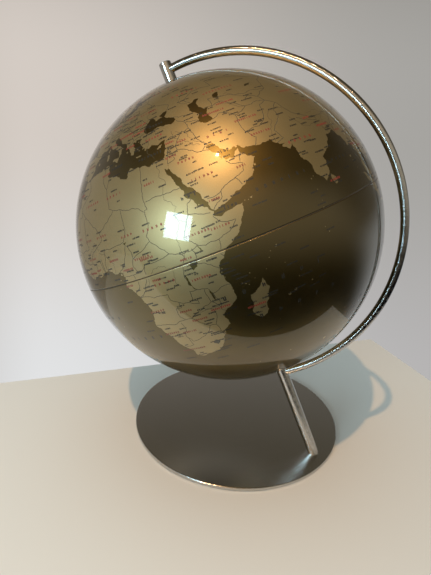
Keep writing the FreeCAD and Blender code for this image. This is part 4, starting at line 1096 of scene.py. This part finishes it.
def set_wide(name, text, size, closeness, seed, ink):
    """Country or sea names, with each row's own letter gap and a size that goes with it."""
    chance = random.Random(seed)
    shape = bmesh.new()
    for longitude, latitude, letters, gap in rows(text):
        tall = size + GROWTH_WITH_GAP * gap * MM
        step = max(closeness * gap * MM, CLOSEST_LETTERS * size)
        set_name(shape, chance, longitude, latitude, letters, tall, step, -(letters - 1) * step / 2)
    finish_ink(name, shape, ink)


set_towns()
set_wide("map_country_names", COUNTRIES, 1.65 * MM, 0.8, COUNTRY_SEED, red_ink)
set_wide("map_sea_names", SEAS, 2.2 * MM, 1.0, SEA_SEED, dark_ink)

# %% [markdown]
# The stand is stainless steel. Round bar and tube are ground while they turn, so their fine
# scratches run round them like very shallow threads. A light then smears along the bar, and
# shows as one long sharp streak instead of a spot. Each steel therefore has a grain that is
# fine along the bar and broad round it, built from lengths measured on the piece.

# %% Steel finishes
STEEL, STEEL_PALE = (0.56, 0.56, 0.56), (0.64, 0.64, 0.64)
SCRATCH, SCRATCH_ROUND = 4600.0, 60.0
SMEAR, SMEAR_ROUND = 90.0, 400.0
TUBE_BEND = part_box("meridian_tube")[1].z - CENTRE.z


def steel(name, along, across, level, roughness, depth):
    """Ground steel: along runs with the bar, across and level are square to it, depth is in metres."""
    finish = Finish(name, STEEL, Metallic=1.0, Roughness=roughness)
    along, across, level = along(finish), across(finish), level(finish)
    fine = finish.place(along * SCRATCH, across * SCRATCH_ROUND, level * SCRATCH_ROUND)
    broad = finish.place(along * SMEAR, across * SMEAR_ROUND, level * SMEAR_ROUND)
    grain = finish.noise(1.0, 2.0, fine)
    smear = finish.noise(1.0, 2.0, broad)
    finish.tint(STEEL, STEEL_PALE, grain * 0.4 + smear * 0.6)
    finish.feed("Roughness", roughness - 0.03 + 0.03 * grain + 0.04 * smear)
    finish.relief(grain, depth, 1.0)
    return finish.material


def distance(axis, centre=(0, 0, 0)):
    """Measures how far a place lies along an axis."""
    return lambda finish: finish.along(axis, centre)


def round_the_bend(finish):
    """The length along the bent tube, from its angle round the ball's middle."""
    rise, side = finish.along(NORTH, CENTRE), finish.along(TUBE_SIDE, CENTRE)
    return rise.math("ARCTAN2", rise, side) * TUBE_BEND


post_low, post_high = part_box("post")
POST_AXIS = Vector((post_low.x - post_high.x, 0, post_high.z - post_low.z)).normalized()
POST_SIDE = POST_AXIS.cross(AWAY)
UP, RIGHT = Vector((0, 0, 1)), Vector((1, 0, 0))
tube_steel = steel("tube_steel", round_the_bend, distance(AWAY), distance(NORTH), 0.10, 0.00011)
post_steel = steel("post_steel", distance(POST_AXIS), distance(POST_SIDE), distance(AWAY), 0.12, 0.00010)
sleeve_steel = steel("sleeve_steel", distance(NORTH), distance(TUBE_SIDE), distance(AWAY), 0.12, 0.00005)
bare_steel = steel("fastener_steel", distance(UP), distance(RIGHT), distance(AWAY), 0.28, 0.00004)
print("post leans along", [round(c, 3) for c in POST_AXIS])

# %% [markdown]
# The foot plate is turned, so its scratches are circles round its middle. They pull every
# highlight into a fan that points at the centre. The plate is also a duller steel than the bars.

# %% Foot plate finish
plate_low, plate_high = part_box("foot_plate")
PLATE_CENTRE = (plate_low + plate_high) / 2


def turned_plate():
    finish = Finish("turned_plate_steel", (0.55, 0.54, 0.52), Metallic=1.0, Roughness=0.26)
    across, level = finish.along(RIGHT, PLATE_CENTRE), finish.along(AWAY, PLATE_CENTRE)
    radius = (across * across + level * level) ** 0.5
    turn = level.math("ARCTAN2", level, across)
    grain = finish.noise(1.0, 3.0, finish.place(radius * 4200.0, turn * 1.5))
    smear = finish.noise(1.0, 3.0, finish.place(radius * 160.0, turn * 0.8))
    patina = finish.noise(14.0, 4.0)
    finish.tint((0.53, 0.535, 0.53), (0.59, 0.595, 0.59), grain * 0.4 + smear * 0.3 + patina * 0.3)
    finish.feed("Roughness", 0.20 + 0.05 * grain + 0.05 * smear)
    finish.relief(grain, 0.00001, 0.25)
    return finish.material


plate_steel = turned_plate()
print("plate finish", plate_steel.name)

# %% [markdown]
# The small parts are seldom seen, but each one is what it is: a felt pad with fibres, nylon
# washers with a moulded bloom, a brass liner, and dark moulded plastic for shells and bushes.

# %% Felt, nylon, brass and plastic


def felt():
    finish = Finish("dark_felt", (0.035, 0.034, 0.033), Roughness=0.95, Sheen_Weight=0.4)
    fibre = finish.noise(2400.0, 5.0)
    finish.tint((0.022, 0.021, 0.021), (0.060, 0.058, 0.056), fibre)
    finish.relief(fibre, 0.0004, 0.8)
    return finish.material


def moulded(name, deep, pale, roughness, pores=1800.0):
    """Moulded plastic with a fine pebble and a slight cloudiness."""
    finish = Finish(name, deep, Roughness=roughness)
    pebble = finish.noise(pores, 3.0)
    finish.tint(deep, pale, finish.noise(70.0, 3.0) * 0.7 + pebble * 0.3)
    finish.feed("Roughness", roughness - 0.06 + 0.12 * pebble)
    finish.relief(pebble, 0.00003, 0.5)
    return finish.material


def brass():
    finish = Finish("liner_brass", (0.60, 0.43, 0.17), Metallic=1.0, Roughness=0.32)
    tarnish = finish.noise(220.0, 4.0)
    finish.tint((0.50, 0.34, 0.13), (0.68, 0.50, 0.22), tarnish)
    finish.feed("Roughness", 0.26 + 0.16 * tarnish)
    return finish.material


nylon = moulded("white_nylon", (0.72, 0.71, 0.67), (0.80, 0.79, 0.76), 0.45)
shell_plastic = moulded("shell_plastic", (0.050, 0.038, 0.024), (0.075, 0.058, 0.038), 0.5)
bush_plastic = moulded("bush_plastic", (0.045, 0.040, 0.034), (0.070, 0.062, 0.052), 0.4)
print("moulded finishes", [plastic.name for plastic in (nylon, shell_plastic, bush_plastic)])

# %% [markdown]
# The parts from the CAD model keep their shapes and only get a finish here. The table has one
# row for each finish, so it is easy to see which parts are made of the same stuff.

# %% Give every remaining part its finish
WORN = {
    tube_steel: ["meridian_tube"],
    post_steel: ["post"],
    sleeve_steel: ["north_sleeve", "north_sleeve_cap"],
    plate_steel: ["foot_plate"],
    felt(): ["foot_pad"],
    bare_steel: [
        "post_fixing_screw", "south_pivot_pin", "north_pivot_pin", "south_tube_spigot", "north_tube_spigot",
        "north_bush_clip", "south_bush_clip",
    ],
    nylon: ["south_washer", "north_washer"],
    brass(): ["north_sleeve_liner"],
    shell_plastic: ["north_hemisphere", "south_hemisphere", "joining_ring"],
    bush_plastic: ["north_pole_bush", "south_pole_bush"],
}
for material, names in WORN.items():
    for name in names:
        mesh = frame["nodes"][name].data
        mesh.materials.clear()
        mesh.materials.append(material)
print(sum(len(names) for names in WORN.values()), "CAD parts finished")
